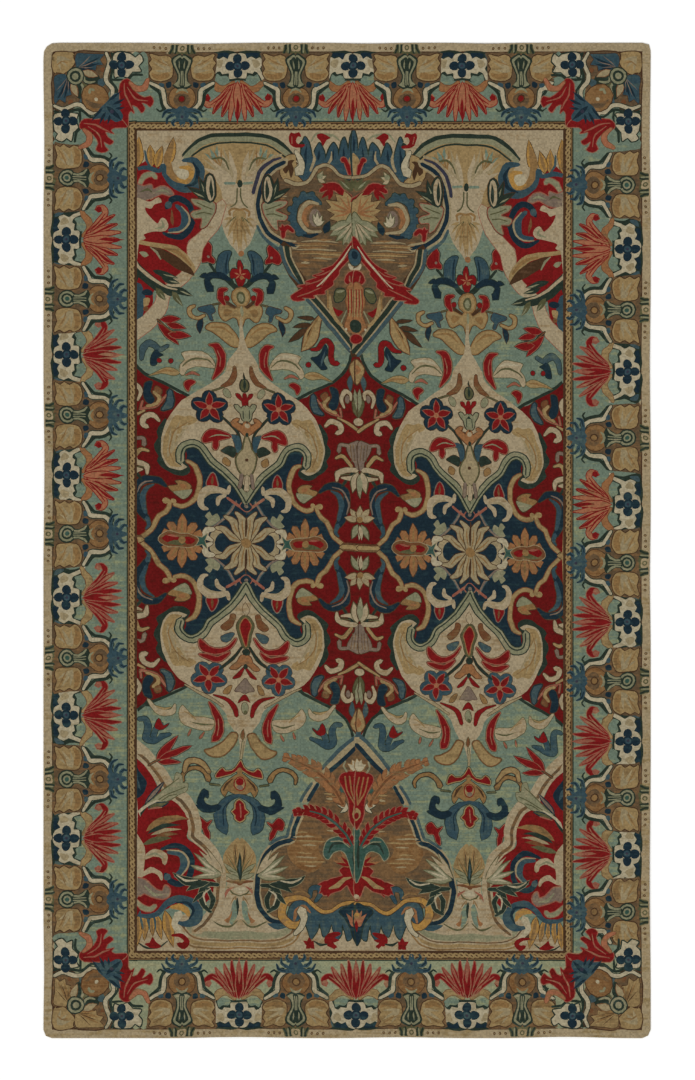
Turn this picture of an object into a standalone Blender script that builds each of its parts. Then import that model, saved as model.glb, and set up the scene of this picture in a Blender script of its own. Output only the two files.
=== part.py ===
"""Needlepoint rug, lying flat: one canvas worked all over in wool, its four edges turned under as a hem.

The rug lies in the XY plane with its long sides along Y and its right side up. The origin is on the
underside at the middle of the rug. Sizes are metres. The hem is part of the canvas, so the rug is one
solid. The canvas is thicker along its edges, where the hem lies under it, and it lifts a little off
the floor at the few places in EDGE_RIPPLES, where its edge also draws in.
"""

import math
from collections import namedtuple

import bmesh
import bpy

WIDTH = 1.830
LENGTH = 3.000
FIELD_THICKNESS = 0.003
HEM_WIDTH = 0.026
HEM_SLOPE = 0.012
HEM_RISE = 0.0016
FOLD_RADIUS = 0.0013
FOLD_SEGMENTS = 3
FOLD_ANGLE = math.radians(40)
CORNER_RADII = {
    ("left", "top"): 0.036,
    ("right", "top"): 0.017,
    ("left", "bottom"): 0.024,
    ("right", "bottom"): 0.026,
}
RIM_LINES = (0.0, 0.006, 0.014, HEM_WIDTH, HEM_WIDTH + HEM_SLOPE)
FIELD_LINE_SPACING = 0.075

WOOL_COLOUR = (0.113, 0.107, 0.070, 1.0)
WOOL_ROUGHNESS = 0.92

Ripple = namedtuple("Ripple", "side at length reach lift draw_in")

# Where the edge cockles: its side, the middle of the ripple along that side (from the rug's centre),
# its length, how far it reaches into the rug, how high it lifts, and how far the edge draws in.
EDGE_RIPPLES = (
    Ripple("left", 1.20, 0.46, 0.10, 0.0016, 0.0025),
    Ripple("left", 0.22, 0.60, 0.13, 0.0024, 0.0030),
    Ripple("left", -1.30, 0.34, 0.08, 0.0014, 0.0020),
    Ripple("right", 1.22, 0.50, 0.10, 0.0018, 0.0026),
    Ripple("right", 0.52, 0.52, 0.12, 0.0022, 0.0028),
    Ripple("right", -0.12, 0.44, 0.09, 0.0014, 0.0024),
    Ripple("right", -1.02, 0.74, 0.13, 0.0026, 0.0030),
    Ripple("top", -0.44, 0.40, 0.10, 0.0018, 0.0026),
    Ripple("top", 0.06, 0.28, 0.08, 0.0012, 0.0022),
    Ripple("top", 0.42, 0.26, 0.08, 0.0014, 0.0020),
    Ripple("bottom", -0.32, 0.46, 0.11, 0.0024, 0.0036),
    Ripple("bottom", 0.16, 0.42, 0.09, 0.0014, 0.0026),
    Ripple("bottom", 0.66, 0.40, 0.10, 0.0020, 0.0040),
)


def grid_lines(extent):
    """Places of the grid's lines across an extent: close together in the rim, even between."""
    half = extent / 2
    inner = half - RIM_LINES[-1]
    count = round(2 * inner / FIELD_LINE_SPACING)
    even = [-inner + 2 * inner * i / count for i in range(1, count)]
    rim = [half - line for line in RIM_LINES]
    return [-place for place in rim] + even + rim[::-1]


def bump(distance, width):
    """A smooth hump: 1 at no distance, falling to 0 at half its width."""
    share = min(abs(distance) / (width / 2), 1.0)
    return 0.5 + 0.5 * math.cos(math.pi * share)


def side_distances(x, y):
    """For each side, how far a point is in from it and where it is along it."""
    return {
        "left": (WIDTH / 2 + x, y),
        "right": (WIDTH / 2 - x, y),
        "top": (LENGTH / 2 - y, x),
        "bottom": (LENGTH / 2 + y, x),
    }


def lift_at(x, y):
    """How far the canvas stands off the floor at a point."""
    distances = side_distances(x, y)
    lift = 0.0
    for ripple in EDGE_RIPPLES:
        inward, along = distances[ripple.side]
        hump = bump(inward, 2 * ripple.reach) * bump(along - ripple.at, ripple.length)
        lift = max(lift, ripple.lift * hump)
    return lift


def thickness_at(x, y):
    """The canvas alone in the field, with a soft step up to the doubled hem."""
    inward = min(distance for distance, _ in side_distances(x, y).values())
    share = min(max((HEM_WIDTH + HEM_SLOPE - inward) / HEM_SLOPE, 0.0), 1.0)
    return FIELD_THICKNESS + HEM_RISE * share * share * (3 - 2 * share)


def rounded_corner(x, y):
    """Moves a point of the square-cornered sheet so that each corner becomes its arc."""
    side = "left" if x < 0 else "right"
    end = "bottom" if y < 0 else "top"
    radius = CORNER_RADII[side, end]
    centre_x = WIDTH / 2 - radius
    centre_y = LENGTH / 2 - radius
    over_x = abs(x) - centre_x
    over_y = abs(y) - centre_y
    if over_x <= 0 or over_y <= 0:
        return x, y
    scale = max(over_x, over_y) / math.hypot(over_x, over_y)
    new_x = math.copysign(centre_x + over_x * scale, x)
    new_y = math.copysign(centre_y + over_y * scale, y)
    return new_x, new_y


def drawn_in(x, y):
    """Moves a point inwards where a ripple shortens the cloth."""
    distances = side_distances(x, y)
    inwards = {"left": (1, 0), "right": (-1, 0), "top": (0, -1), "bottom": (0, 1)}
    shift_x = 0.0
    shift_y = 0.0
    for ripple in EDGE_RIPPLES:
        inward, along = distances[ripple.side]
        hump = bump(inward, 2 * ripple.reach) * bump(along - ripple.at, ripple.length)
        shift_x += inwards[ripple.side][0] * ripple.draw_in * hump
        shift_y += inwards[ripple.side][1] * ripple.draw_in * hump
    return x + shift_x, y + shift_y


def canvas_mesh():
    """A grid for the right side of the rug, extruded down to its underside."""
    lines_x = grid_lines(WIDTH)
    lines_y = grid_lines(LENGTH)
    cells_x = len(lines_x) - 1
    cells_y = len(lines_y) - 1
    sheet = bmesh.new()
    bmesh.ops.create_grid(sheet, x_segments=cells_x, y_segments=cells_y, size=0.5)
    for vertex in sheet.verts:
        x = lines_x[round((vertex.co.x + 0.5) * cells_x)]
        y = lines_y[round((vertex.co.y + 0.5) * cells_y)]
        vertex.co = (x, y, lift_at(x, y) + thickness_at(x, y))
    made = bmesh.ops.extrude_face_region(sheet, geom=sheet.faces[:])
    upper = {item for item in made["geom"] if isinstance(item, bmesh.types.BMVert)}
    for vertex in sheet.verts:
        if vertex not in upper:
            vertex.co.z = lift_at(vertex.co.x, vertex.co.y)
        vertex.co.x, vertex.co.y = drawn_in(*rounded_corner(vertex.co.x, vertex.co.y))
    bmesh.ops.recalc_face_normals(sheet, faces=sheet.faces[:])
    mesh = bpy.data.meshes.new("needlepoint_rug")
    sheet.to_mesh(mesh)
    sheet.free()
    return mesh


def wool_material():
    """Dyed wool stitches: matt, with the average colour of the whole pattern."""
    material = bpy.data.materials.new("dyed wool needlework")
    material.use_nodes = True
    shader = material.node_tree.nodes["Principled BSDF"]
    shader.inputs["Base Color"].default_value = WOOL_COLOUR
    shader.inputs["Roughness"].default_value = WOOL_ROUGHNESS
    shader.inputs["Metallic"].default_value = 0.0
    return material


def needlepoint_rug(collection):
    """The rug's one solid, with the fold of its hem rounded."""
    rug = bpy.data.objects.new("needlepoint_rug", canvas_mesh())
    collection.objects.link(rug)
    rug.data.materials.append(wool_material())
    fold = rug.modifiers.new("hem fold", "BEVEL")
    fold.limit_method = "ANGLE"
    fold.angle_limit = FOLD_ANGLE
    fold.width = FOLD_RADIUS
    fold.segments = FOLD_SEGMENTS
    return rug


def main():
    for old in list(bpy.data.objects):
        bpy.data.objects.remove(old, do_unlink=True)
    collection = bpy.data.collections.new("needlepoint rug")
    bpy.context.scene.collection.children.link(collection)
    needlepoint_rug(collection)


main()
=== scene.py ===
import math

import bpy
import numpy as np
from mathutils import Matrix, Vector
from mathutils.geometry import delaunay_2d_cdt


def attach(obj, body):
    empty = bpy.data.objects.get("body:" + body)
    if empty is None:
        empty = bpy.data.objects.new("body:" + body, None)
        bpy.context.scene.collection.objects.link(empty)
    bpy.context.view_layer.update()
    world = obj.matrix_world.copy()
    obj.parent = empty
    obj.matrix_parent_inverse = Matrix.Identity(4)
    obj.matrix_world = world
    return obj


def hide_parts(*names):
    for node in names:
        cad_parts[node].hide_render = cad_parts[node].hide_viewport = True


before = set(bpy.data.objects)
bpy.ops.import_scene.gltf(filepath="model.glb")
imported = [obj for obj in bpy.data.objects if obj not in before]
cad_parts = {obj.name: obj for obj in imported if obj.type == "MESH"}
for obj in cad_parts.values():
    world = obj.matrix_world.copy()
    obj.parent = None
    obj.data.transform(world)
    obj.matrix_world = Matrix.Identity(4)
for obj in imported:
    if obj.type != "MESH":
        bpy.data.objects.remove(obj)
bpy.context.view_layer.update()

# The rug is a needlepoint carpet: one canvas worked all over in wool. Its pattern is charted in
# centimetres on the rug, y up, as smooth outlines that lie over each other like layers of paint. The
# canvas is then cut along those outlines, and each piece of it gets the wool that is topmost there.

WIDTH = 1.830
LENGTH = 3.000
FIELD_THICKNESS = 0.003
HEM_WIDTH = 0.026
HEM_SLOPE = 0.012
HEM_RISE = 0.0016
FOLD_RADIUS = 0.0013
FOLD_ANGLES = (30, 60, 90)
CORNER_RADII = {
    ("left", "top"): 0.036,
    ("right", "top"): 0.017,
    ("left", "bottom"): 0.024,
    ("right", "bottom"): 0.026,
}
RIM_LINES = (0.006, 0.014, HEM_WIDTH, HEM_WIDTH + HEM_SLOPE)
LOOP_STEP = 0.025
BACK_STEP = 0.075
CM = 0.01

# Where the edge cockles: its side, the middle of the ripple along that side (from the rug's centre),
# its length, how far it reaches into the rug, how high it lifts, and how far the edge draws in.
EDGE_RIPPLES = (
    ("left", 1.20, 0.46, 0.10, 0.0016, 0.0025),
    ("left", 0.22, 0.60, 0.13, 0.0024, 0.0030),
    ("left", -1.30, 0.34, 0.08, 0.0014, 0.0020),
    ("right", 1.22, 0.50, 0.10, 0.0018, 0.0026),
    ("right", 0.52, 0.52, 0.12, 0.0022, 0.0028),
    ("right", -0.12, 0.44, 0.09, 0.0014, 0.0024),
    ("right", -1.02, 0.74, 0.13, 0.0026, 0.0030),
    ("top", -0.44, 0.40, 0.10, 0.0018, 0.0026),
    ("top", 0.06, 0.28, 0.08, 0.0012, 0.0022),
    ("top", 0.42, 0.26, 0.08, 0.0014, 0.0020),
    ("bottom", -0.32, 0.46, 0.11, 0.0024, 0.0036),
    ("bottom", 0.16, 0.42, 0.09, 0.0014, 0.0026),
    ("bottom", 0.66, 0.40, 0.10, 0.0020, 0.0040),
)

# Each wool: its colour, the colour that it has faded or worn to, and how much of it shows worn.
YARNS = {
    "sea green": ("#5d6a5b", "#777a5b", 0.45),
    "willow": ("#767a60", "#828062", 0.50),
    "sage": ("#6e6d54", "#80785e", 0.45),
    "ivory": ("#8e8066", "#7e6a4c", 0.40),
    "linen": ("#978d74", "#857a60", 0.40),
    "buff": ("#807357", "#8b7c5d", 0.45),
    "sand": ("#826d49", "#6e5a3b", 0.45),
    "ochre": ("#765b38", "#604c31", 0.45),
    "gold": ("#916e38", "#785e3e", 0.45),
    "orange": ("#7d5636", "#694f36", 0.45),
    "salmon": ("#88573e", "#775639", 0.40),
    "rust": ("#5e3c25", "#675639", 0.40),
    "taupe": ("#4f402e", "#664d32", 0.60),
    "tawny": ("#725636", "#634528", 0.55),
    "umber": ("#3c291a", "#4d3827", 0.40),
    "madder": ("#681414", "#58130f", 0.45),
    "deep madder": ("#571110", "#48120e", 0.45),
    "rose": ("#7b4a3a", "#836249", 0.40),
    "navy": ("#16242c", "#243638", 0.40),
    "indigo": ("#2b3e45", "#3a4a49", 0.50),
    "slate": ("#344447", "#48544b", 0.45),
    "purple": ("#2c2c38", "#3b393b", 0.40),
    "teal": ("#2c443a", "#3e5049", 0.45),
    "bottle": ("#212a22", "#2d3830", 0.40),
    "moss": ("#47462e", "#58553b", 0.45),
    "lilac": ("#64564a", "#756753", 0.45),
    "band": ("#8d7e62", "#7d6b49", 0.45),
    "canvas": ("#867860", "#756850", 0.50),
}


# About how far apart the points of a smooth curve lie, in centimetres.
CURVE_STEP = 0.62


def smooth(points, closed=False):
    """A curve through its points: each stretch is a cubic whose end slopes follow the neighbouring
    points, so a point given twice is a sharp corner."""
    knots = np.array(points, dtype=float)
    if closed:
        before = np.roll(knots, 1, axis=0)
        after = np.roll(knots, -1, axis=0)
        beyond = np.roll(knots, -2, axis=0)
    else:
        padded = np.vstack([2 * knots[0] - knots[1], knots, 2 * knots[-1] - knots[-2]])
        before, knots, after, beyond = padded[:-3], padded[1:-2], padded[2:-1], padded[3:]
    stretch = np.hypot(*(after - knots).T).mean()
    count = int(np.clip(round(stretch / CURVE_STEP), 2, 6))
    t = (np.arange(count) / count)[None, :, None]
    p0, p1, p2, p3 = (part[:, None, :] for part in (before, knots, after, beyond))
    curve = 0.5 * (2 * p1 + (p2 - p0) * t + (2 * p0 - 5 * p1 + 4 * p2 - p3) * t ** 2
                   + (3 * p1 - p0 - 3 * p2 + p3) * t ** 3)
    sharp = np.hypot(*(after - knots).T) < 1e-9
    curve[sharp] = knots[sharp][:, None, :]
    curve = curve.reshape(-1, 2)
    if not closed:
        curve = np.vstack([curve, after[-1]])
    keep = np.hypot(*(curve - np.roll(curve, 1, axis=0)).T) > 1e-4
    return curve[keep]


def area(yarn, *points):
    """A patch of one yarn inside a smooth closed outline."""
    return [(yarn, smooth(points, closed=True))]


def line(yarn, widths, *points):
    """A ribbon along a smooth path. Its widths are spread evenly along it, and its ends are round."""
    spine = smooth(points)
    along = np.linspace(0, 1, len(spine))
    widths = np.atleast_1d(np.array(widths, dtype=float))
    half = np.interp(along, np.linspace(0, 1, len(widths)), widths) / 2 if len(widths) > 1 else (
        np.full(len(spine), widths[0] / 2))
    slope = np.gradient(spine, axis=0)
    slope /= np.maximum(np.hypot(*slope.T), 1e-6)[:, None]
    normal = np.column_stack([-slope[:, 1], slope[:, 0]])
    left = spine + normal * half[:, None]
    right = spine - normal * half[:, None]
    tip = spine[-1] + slope[-1] * half[-1]
    tail = spine[0] - slope[0] * half[0]
    return [(yarn, np.vstack([left, tip, right[::-1], tail]))]


def leaf(yarn, x0, y0, x1, y1, width, bend=0.0):
    """A leaf from its base to its pointed tip: half its width times the sine of pi * t ** 0.8 on each
    side of a parabola that bends by a share of its length."""
    length = math.hypot(x1 - x0, y1 - y0)
    count = int(np.clip(round(length / 1.1), 4, 8))
    t = np.linspace(0, 1, count + 1)
    direction = np.array([x1 - x0, y1 - y0])
    across = np.array([-direction[1], direction[0]])
    spine = np.array([x0, y0]) + t[:, None] * direction + (4 * bend * t * (1 - t))[:, None] * across
    slope = direction + (4 * bend * (1 - 2 * t))[:, None] * across
    normal = np.column_stack([-slope[:, 1], slope[:, 0]]) / np.hypot(*slope.T)[:, None]
    half = 0.5 * width * np.sin(math.pi * t ** 0.8)
    left = spine + normal * half[:, None]
    right = spine - normal * half[:, None]
    return [(yarn, np.vstack([left, right[-2:0:-1]]))]


def spot(yarn, x, y, reach, height=None, turn=0.0):
    """An ellipse, turned by degrees."""
    height = reach if height is None else height
    largest = max(reach, height)
    count = 6 if largest < 0.6 else 8 if largest < 1.4 else 12
    angle = np.arange(count) * 2 * math.pi / count
    flat = np.column_stack([reach * np.cos(angle), height * np.sin(angle)])
    return [(yarn, flat @ turning(turn).T + (x, y))]


def plume(yarn, width, count, reach, *points):
    """A feathery leaf: slender barbs on both sides of a smooth rib, longest before the middle."""
    rib = smooth(points)
    slope = np.gradient(rib, axis=0)
    slope /= np.hypot(*slope.T)[:, None]
    shapes = line(yarn, (width, width, width / 2), *points)
    for number in range(count):
        share = (number + 0.7) / count
        place = int(share * (len(rib) - 1))
        length = reach * (0.35 + 0.65 * math.sin(math.pi * share ** 0.7))
        for side in (-1, 1):
            across = side * np.array([-slope[place, 1], slope[place, 0]])
            tip = rib[place] + length * (0.75 * slope[place] + 0.66 * across)
            shapes += leaf(yarn, *rib[place], *tip, width, 0.1 * side)
    return shapes


def fan(yarn, width, x, y, *tips):
    """Leaves that spread from one point to their tips."""
    shapes = []
    for tip_x, tip_y in tips:
        shapes += leaf(yarn, x, y, tip_x, tip_y, width)
    return shapes


def rubbed(x, y, reach, height, count):
    """A rubbed place: short threads of worn wool along the rows, thinner towards its ends."""
    shapes = []
    for number in range(count):
        share = (number + 0.5) / count * 2 - 1
        middle = x + 0.25 * reach * math.sin(7 * number)
        half = reach * math.sqrt(1 - share ** 2) * (0.75 + 0.25 * math.sin(5 * number))
        row = y + height * share
        yarn = ("tawny", "buff", "tawny", "sand")[number % 4]
        shapes += line(yarn, (0.2, 2.1 * height / count, 0.2), (middle - half, row),
                       (middle, row + 0.2 * math.sin(3 * number)), (middle + half, row))
    return shapes


def turning(degrees):
    """The matrix that turns points about the origin."""
    angle = math.radians(degrees)
    return np.array([[math.cos(angle), -math.sin(angle)], [math.sin(angle), math.cos(angle)]])


def rimmed(yarn, width, shapes):
    """The shapes with a rim of another yarn round each of them."""
    return [(yarn, swollen(outline, width)) for _, outline in shapes] + shapes


def swollen(outline, width):
    """An outline moved outwards along its corners' bisectors."""
    forward = np.roll(outline, -1, axis=0) - outline
    forward /= np.maximum(np.hypot(*forward.T), 1e-6)[:, None]
    slope = forward + np.roll(forward, 1, axis=0)
    size = np.hypot(*slope.T)
    normal = np.column_stack([slope[:, 1], -slope[:, 0]]) / np.maximum(size, 0.7)[:, None]
    x, y = outline.T
    clockwise = np.sum(x * np.roll(y, -1) - y * np.roll(x, -1)) < 0
    return outline + normal * (-width if clockwise else width)


def placed(shapes, x=0.0, y=0.0, turn=0.0, flip=1, lift=1):
    """The shapes mirrored by flip (left to right) and lift (top to bottom), turned and moved."""
    matrix = turning(turn) @ np.diag([flip, lift])
    return [(yarn, outline @ matrix.T + (x, y)) for yarn, outline in shapes]


def both(shapes):
    """Each shape with its mirror image across the axis."""
    pairs = []
    for shape in shapes:
        pairs += [shape] + placed([shape], flip=-1)
    return pairs


# The field in centimetres: how far each unit's axis is from the middle, and half the field's sides.
UNIT_AXIS = 34.0
FIELD_HALF_WIDTH = 64.0
FIELD_HALF_LENGTH = 124.0


def grounds():
    """The field's large patches: sea green ends, the madder middle and the ivory strips at the ends."""
    w, h = FIELD_HALF_WIDTH + 1, FIELD_HALF_LENGTH + 1
    shapes = area("sea green", (-w, -h), (-w, -h), (w, -h), (w, -h), (w, h), (w, h), (-w, h), (-w, h))
    shapes += area("ivory", (-w, -h), (-w, -h), (w, -h), (w, -h), (w, -116), (w, -116), (-w, -116),
                   (-w, -116))
    unit = area("deep madder", (0, 48), (0, 48), (15.8, 44), (23, 47.6), (29.5, 51.4), (32, 55), (34.1, 59),
                (34.1, 59), (34.1, -59), (34.1, -59), (32, -55), (29.5, -51.4), (23, -47.6), (15.8, -44),
                (0, -48), (0, -48))
    edge = line("bottle", 0.9, (15.3, 43.4), (19, 45.6), (23, 47.6), (26.7, 49.3), (29.7, 51.7),
                (31.6, 54.8), (32.4, 57.6))
    unit += edge + placed(edge, lift=-1)
    for side in (-1, 1):
        shapes += placed(both(unit), x=side * UNIT_AXIS)
    return shapes


def arch():
    """The sage arch at the top of a unit, over its teal and sand shoulders."""
    shapes = area("ivory", (-34.6, 125), (-34.6, 125), (35, 125), (35, 125), (35, 108), (35, 108),
                  (-34.6, 108), (-34.6, 108))
    half = area("sand", (0, 120.5), (0, 120.5), (7, 120.3), (13, 117.5), (15.5, 114), (9, 104), (4, 96),
                (0, 96), (0, 96))
    half += line("bottle", 1.25, (0, 122.1), (5.5, 122.1), (9, 121.5), (12, 120), (14.3, 118),
                 (16.3, 115.6))
    half += line("sage", 1.5, (0, 120.8), (5.5, 120.8), (9, 120.1), (12, 118.5), (14.3, 116.6), (15.8, 115))
    half += line("bottle", 0.55, (0, 119.7), (5, 119.7), (8.3, 118.9), (11.2, 117.5), (14, 115.4))
    half += fan("ivory", 1.9, 1, 107.6, (2.8, 117.4), (6.6, 118), (9.4, 115.4), (10.6, 112.2), (8.6, 108.6))
    half += fan("buff", 1.1, 1.6, 108, (4.6, 118.6), (8.2, 117.2), (11, 115))
    half += fan("sea green", 1.1, 6.6, 114.4, (6.4, 119), (8.6, 118), (10.4, 116.4))
    half += fan("ochre", 0.6, 5.4, 112.4, (5, 118.6), (7.4, 117.6), (9.6, 116.8))
    half += line("moss", (0.4, 0.7, 0.5), (3.1, 111.6), (3.9, 113.8), (5.6, 115.1), (8, 114.9))
    half += area("ivory", (2.4, 109.6), (4.4, 111.4), (6.6, 111.6), (7.4, 109.8), (5.4, 106), (4.6, 100),
                 (1.8, 103), (0.8, 106.2))
    return (shapes + area("sea green", (-1.6, 118.6), (0.4, 119), (1.6, 116.4), (0.6, 112.6), (-1, 113))
            + both(half))


def hourglass():
    """The ivory and sand column that hangs below the arch, with its drop, bell and fringe."""
    half = area("ivory", (0, 106.4), (2.8, 106.2), (4.6, 104), (5.6, 100), (5, 94.5), (3.4, 90.4),
                (1.6, 88.2), (0, 87.8))
    half += fan("sand", 1.5, 0.4, 98.6, (0.3, 87.4), (2, 88.8), (3.6, 91.6))
    half += fan("sand", 0.8, 2, 97.4, (4.4, 94), (4.6, 96.6))
    half += line("sea green", 0.8, (1.3, 107.6), (4, 107.7))
    half += line("moss", 0.45, (0.5, 106), (0.6, 102.8), (1.4, 101.3), (2.5, 100.5))
    half += line("ochre", (0.6, 0.7, 0.7, 0.6), (0, 99.8), (1.6, 100), (2.9, 99.2), (2.6, 98))
    half += rimmed("ochre", 0.2, area("sand", (0, 99.4), (1.4, 99.2), (1.6, 97.4), (0, 97)))
    half += fan("moss", 0.35, 0.7, 98, (1, 93.6), (2.4, 94), (3.6, 95.4))
    half += fan("ochre", 0.4, 0.5, 97.6, (0.6, 90), (1.8, 92), (3, 93.4))
    return both(half) + spot("bottle", 0.2, 107.5, 0.8, 1.3) + spot("orange", 0.4, 86.7, 0.9)


def side_leaves():
    """The dark bud and blades, with pale lobes below them, on each side of the hourglass."""
    half = rimmed("rose", 0.25, area("sage", (7.2, 101.6), (10.2, 102.2), (13.8, 102.6), (13, 101),
                                     (10.8, 99.8), (14, 98.4), (13.4, 96.9), (11, 97), (11.3, 94.2),
                                     (9.7, 95), (8.2, 97.2), (7.2, 99)))
    half += line("moss", 0.35, (7.8, 99.8), (10, 100.6), (12.4, 101.6))
    half += line("moss", 0.35, (8.2, 98.4), (10.4, 98.8), (12.8, 98))
    half += leaf("bottle", 8.4, 101.6, 11.7, 109.6, 2.3, -0.05) + leaf("sage", 9.6, 103.4, 11.2, 107.6, 0.6)
    half += leaf("bottle", 8.2, 101.4, 15.4, 106.4, 2.1, 0.06) + leaf("sage", 10.2, 103, 13.6, 105, 0.5)
    half += spot("bottle", 8.6, 106, 1.9, 4.5) + spot("ivory", 8.5, 106, 1.25, 3.9)
    half += leaf("bottle", 8.2, 102.8, 8.2, 109, 1.2)
    return both(half)


def lily():
    """The lily of the upper sea green ground: two petals, two curled arms and a madder heart."""
    half = area("indigo", (2.4, 87), (4.2, 87.5), (6.1, 86), (6.9, 83.4), (6.9, 80.9), (5.2, 79.2),
                (3.6, 80.6), (3.4, 84))
    half += line("bottle", 1.1, (0, 76.5), (1.7, 77), (3.4, 78.7), (5, 80))
    half += line("navy", (1.2, 1.9, 1.7, 1.5, 1.9, 2.4), (3.2, 78.8), (6, 80.2), (8.4, 80.1), (9.6, 78.6),
                 (9.1, 76.6), (8.7, 76))
    half += leaf("navy", 9, 80.3, 11.6, 79.6, 1.3)
    half += fan("slate", 0.4, 5.4, 80.6, (4.2, 86), (5.6, 85.4), (6.4, 83.6))
    half += line("navy", (0.3, 0.5, 0.3), (4.2, 80.6), (4, 84), (3.4, 86.6))
    half += area("madder", (0, 84.6), (0.9, 83), (0.8, 82), (2.2, 82.2), (3.1, 80.8), (2.6, 79.2),
                 (1.5, 79.6), (1, 77.8), (0, 77))
    half += fan("salmon", 0.5, 0.1, 80.4, (0, 83), (1.9, 81), (1.4, 79.2))
    half += rimmed("rose", 0.2, area("madder", (8.2, 88.4), (9.4, 89.8), (10.4, 88.2), (11.6, 86.8),
                                     (12.2, 85), (11.2, 83.8), (9.6, 84.2), (7.8, 83.8), (7.5, 84.8),
                                     (8.4, 86)))
    half += spot("lilac", 9.2, 85.6, 0.45) + line("bottle", 0.35, (9, 83.6), (7, 81))
    return both(half) + spot("orange", 0.4, 79.6, 0.6)


def saddle():
    """The quatrefoil, scrolls and saddle under the lily, and the pair of sand leaves over the neck."""
    half = rimmed("ochre", 0.3, area("sand", (0, 64.8), (0.9, 67.2), (2.5, 67.9), (4.4, 66.7), (5.6, 68),
                                     (6.2, 70), (5.6, 71.4), (3.6, 71), (1.8, 70), (0, 71)))
    half += area("ochre", (2.4, 69.6), (4.6, 70.2), (5, 68.6), (4, 67.8))
    half += rimmed("rose", 0.2, line("madder", (0.6, 1.5, 1.8, 0.8), (4, 76), (5.6, 75.5), (5.8, 73.4),
                                     (4.8, 71.6)))
    half += spot("madder", 4, 73.4, 0.8) + line("umber", 0.35, (1.6, 70.6), (4.2, 72.6))
    half += rimmed("ochre", 0.3, area("sand", (0.7, 59.6), (2.4, 63.2), (4.8, 65.5), (8.2, 65.7),
                                      (10.2, 64.4), (8, 63.3), (5.4, 61), (2.6, 59.2)))
    half += line("ochre", (0.3, 0.8, 0.3), (2.8, 62.4), (5.6, 64.6), (9, 64.5))
    half += area("indigo", (7.4, 69.4), (8.2, 71.2), (9.8, 70.8), (12.2, 70.2), (11.8, 69.2), (9.8, 68.5),
                 (8.9, 66.7), (8, 66.7), (8.5, 68.4))
    half += line("moss", 0.3, (5.8, 71.8), (8, 71.3))
    half += rimmed("ochre", 0.2, line("sand", (0.5, 0.9, 0.8, 0.6, 0.4), (13.3, 70.9), (14.8, 69.9),
                                      (14.6, 67.9), (12.9, 67), (10.6, 67.9)))
    half += leaf("navy", 11.1, 67, 12, 62.4, 1.7, 0.12)
    rings = spot("ochre", 0.2, 73.8, 2.8, 3.1) + spot("sand", 0.2, 73.8, 2.3, 2.6)
    rings += spot("moss", 0.2, 73.6, 1.3, 2)
    return both(half) + rings + spot("sage", 0.2, 73.6, 0.8, 1.3) + spot("sage", 0.2, 69.4, 0.5, 1.6)


def neck_leaves():
    """Madder horns, cream leaves and small horns on each side of the neck."""
    half = rimmed("rose", 0.25, line("madder", (0.3, 1.7, 2.3, 2.1, 1.2, 0.3), (9.3, 59.3), (7.3, 58.8),
                                     (6.1, 56.4), (6.3, 53.4), (7.4, 51), (8.6, 49.2)))
    half += line("rose", 0.3, (7, 57.6), (6.3, 55.4), (6.6, 53))
    half += area("ivory", (8, 52.4), (8.8, 55), (11.6, 57.3), (15, 57.2), (17.4, 56.5), (16.4, 54.6),
                 (17.6, 53), (18, 50.6), (16.9, 49.9), (15.8, 51.8), (13.4, 52.6), (10.4, 52.5))
    half += line("moss", (0.2, 0.7, 0.3), (8.2, 52.8), (10.2, 54.7), (13.2, 55.1), (15.6, 54.2), (17, 52.6))
    half += line("linen", (0.3, 1, 0.3), (9.5, 55.6), (12.6, 56.4), (16.6, 56.2))
    half += line("rose", (0.4, 0.9, 0.4), (12.4, 49.9), (14.4, 50.8), (16.2, 50))
    half += area("sand", (18, 50.7), (20.2, 52), (23, 51.5), (26.6, 49.4), (23.4, 50.2), (20, 49.7))
    half += line("ochre", (0.2, 0.8, 0.2), (19, 50.9), (22, 51), (25.6, 49.9))
    half += rimmed("rose", 0.2, area("madder", (13.7, 47.9), (15, 48.6), (16.7, 47.8), (16.8, 46.4),
                                     (15.7, 45), (15.3, 46.5)))
    return both(half)


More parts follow.
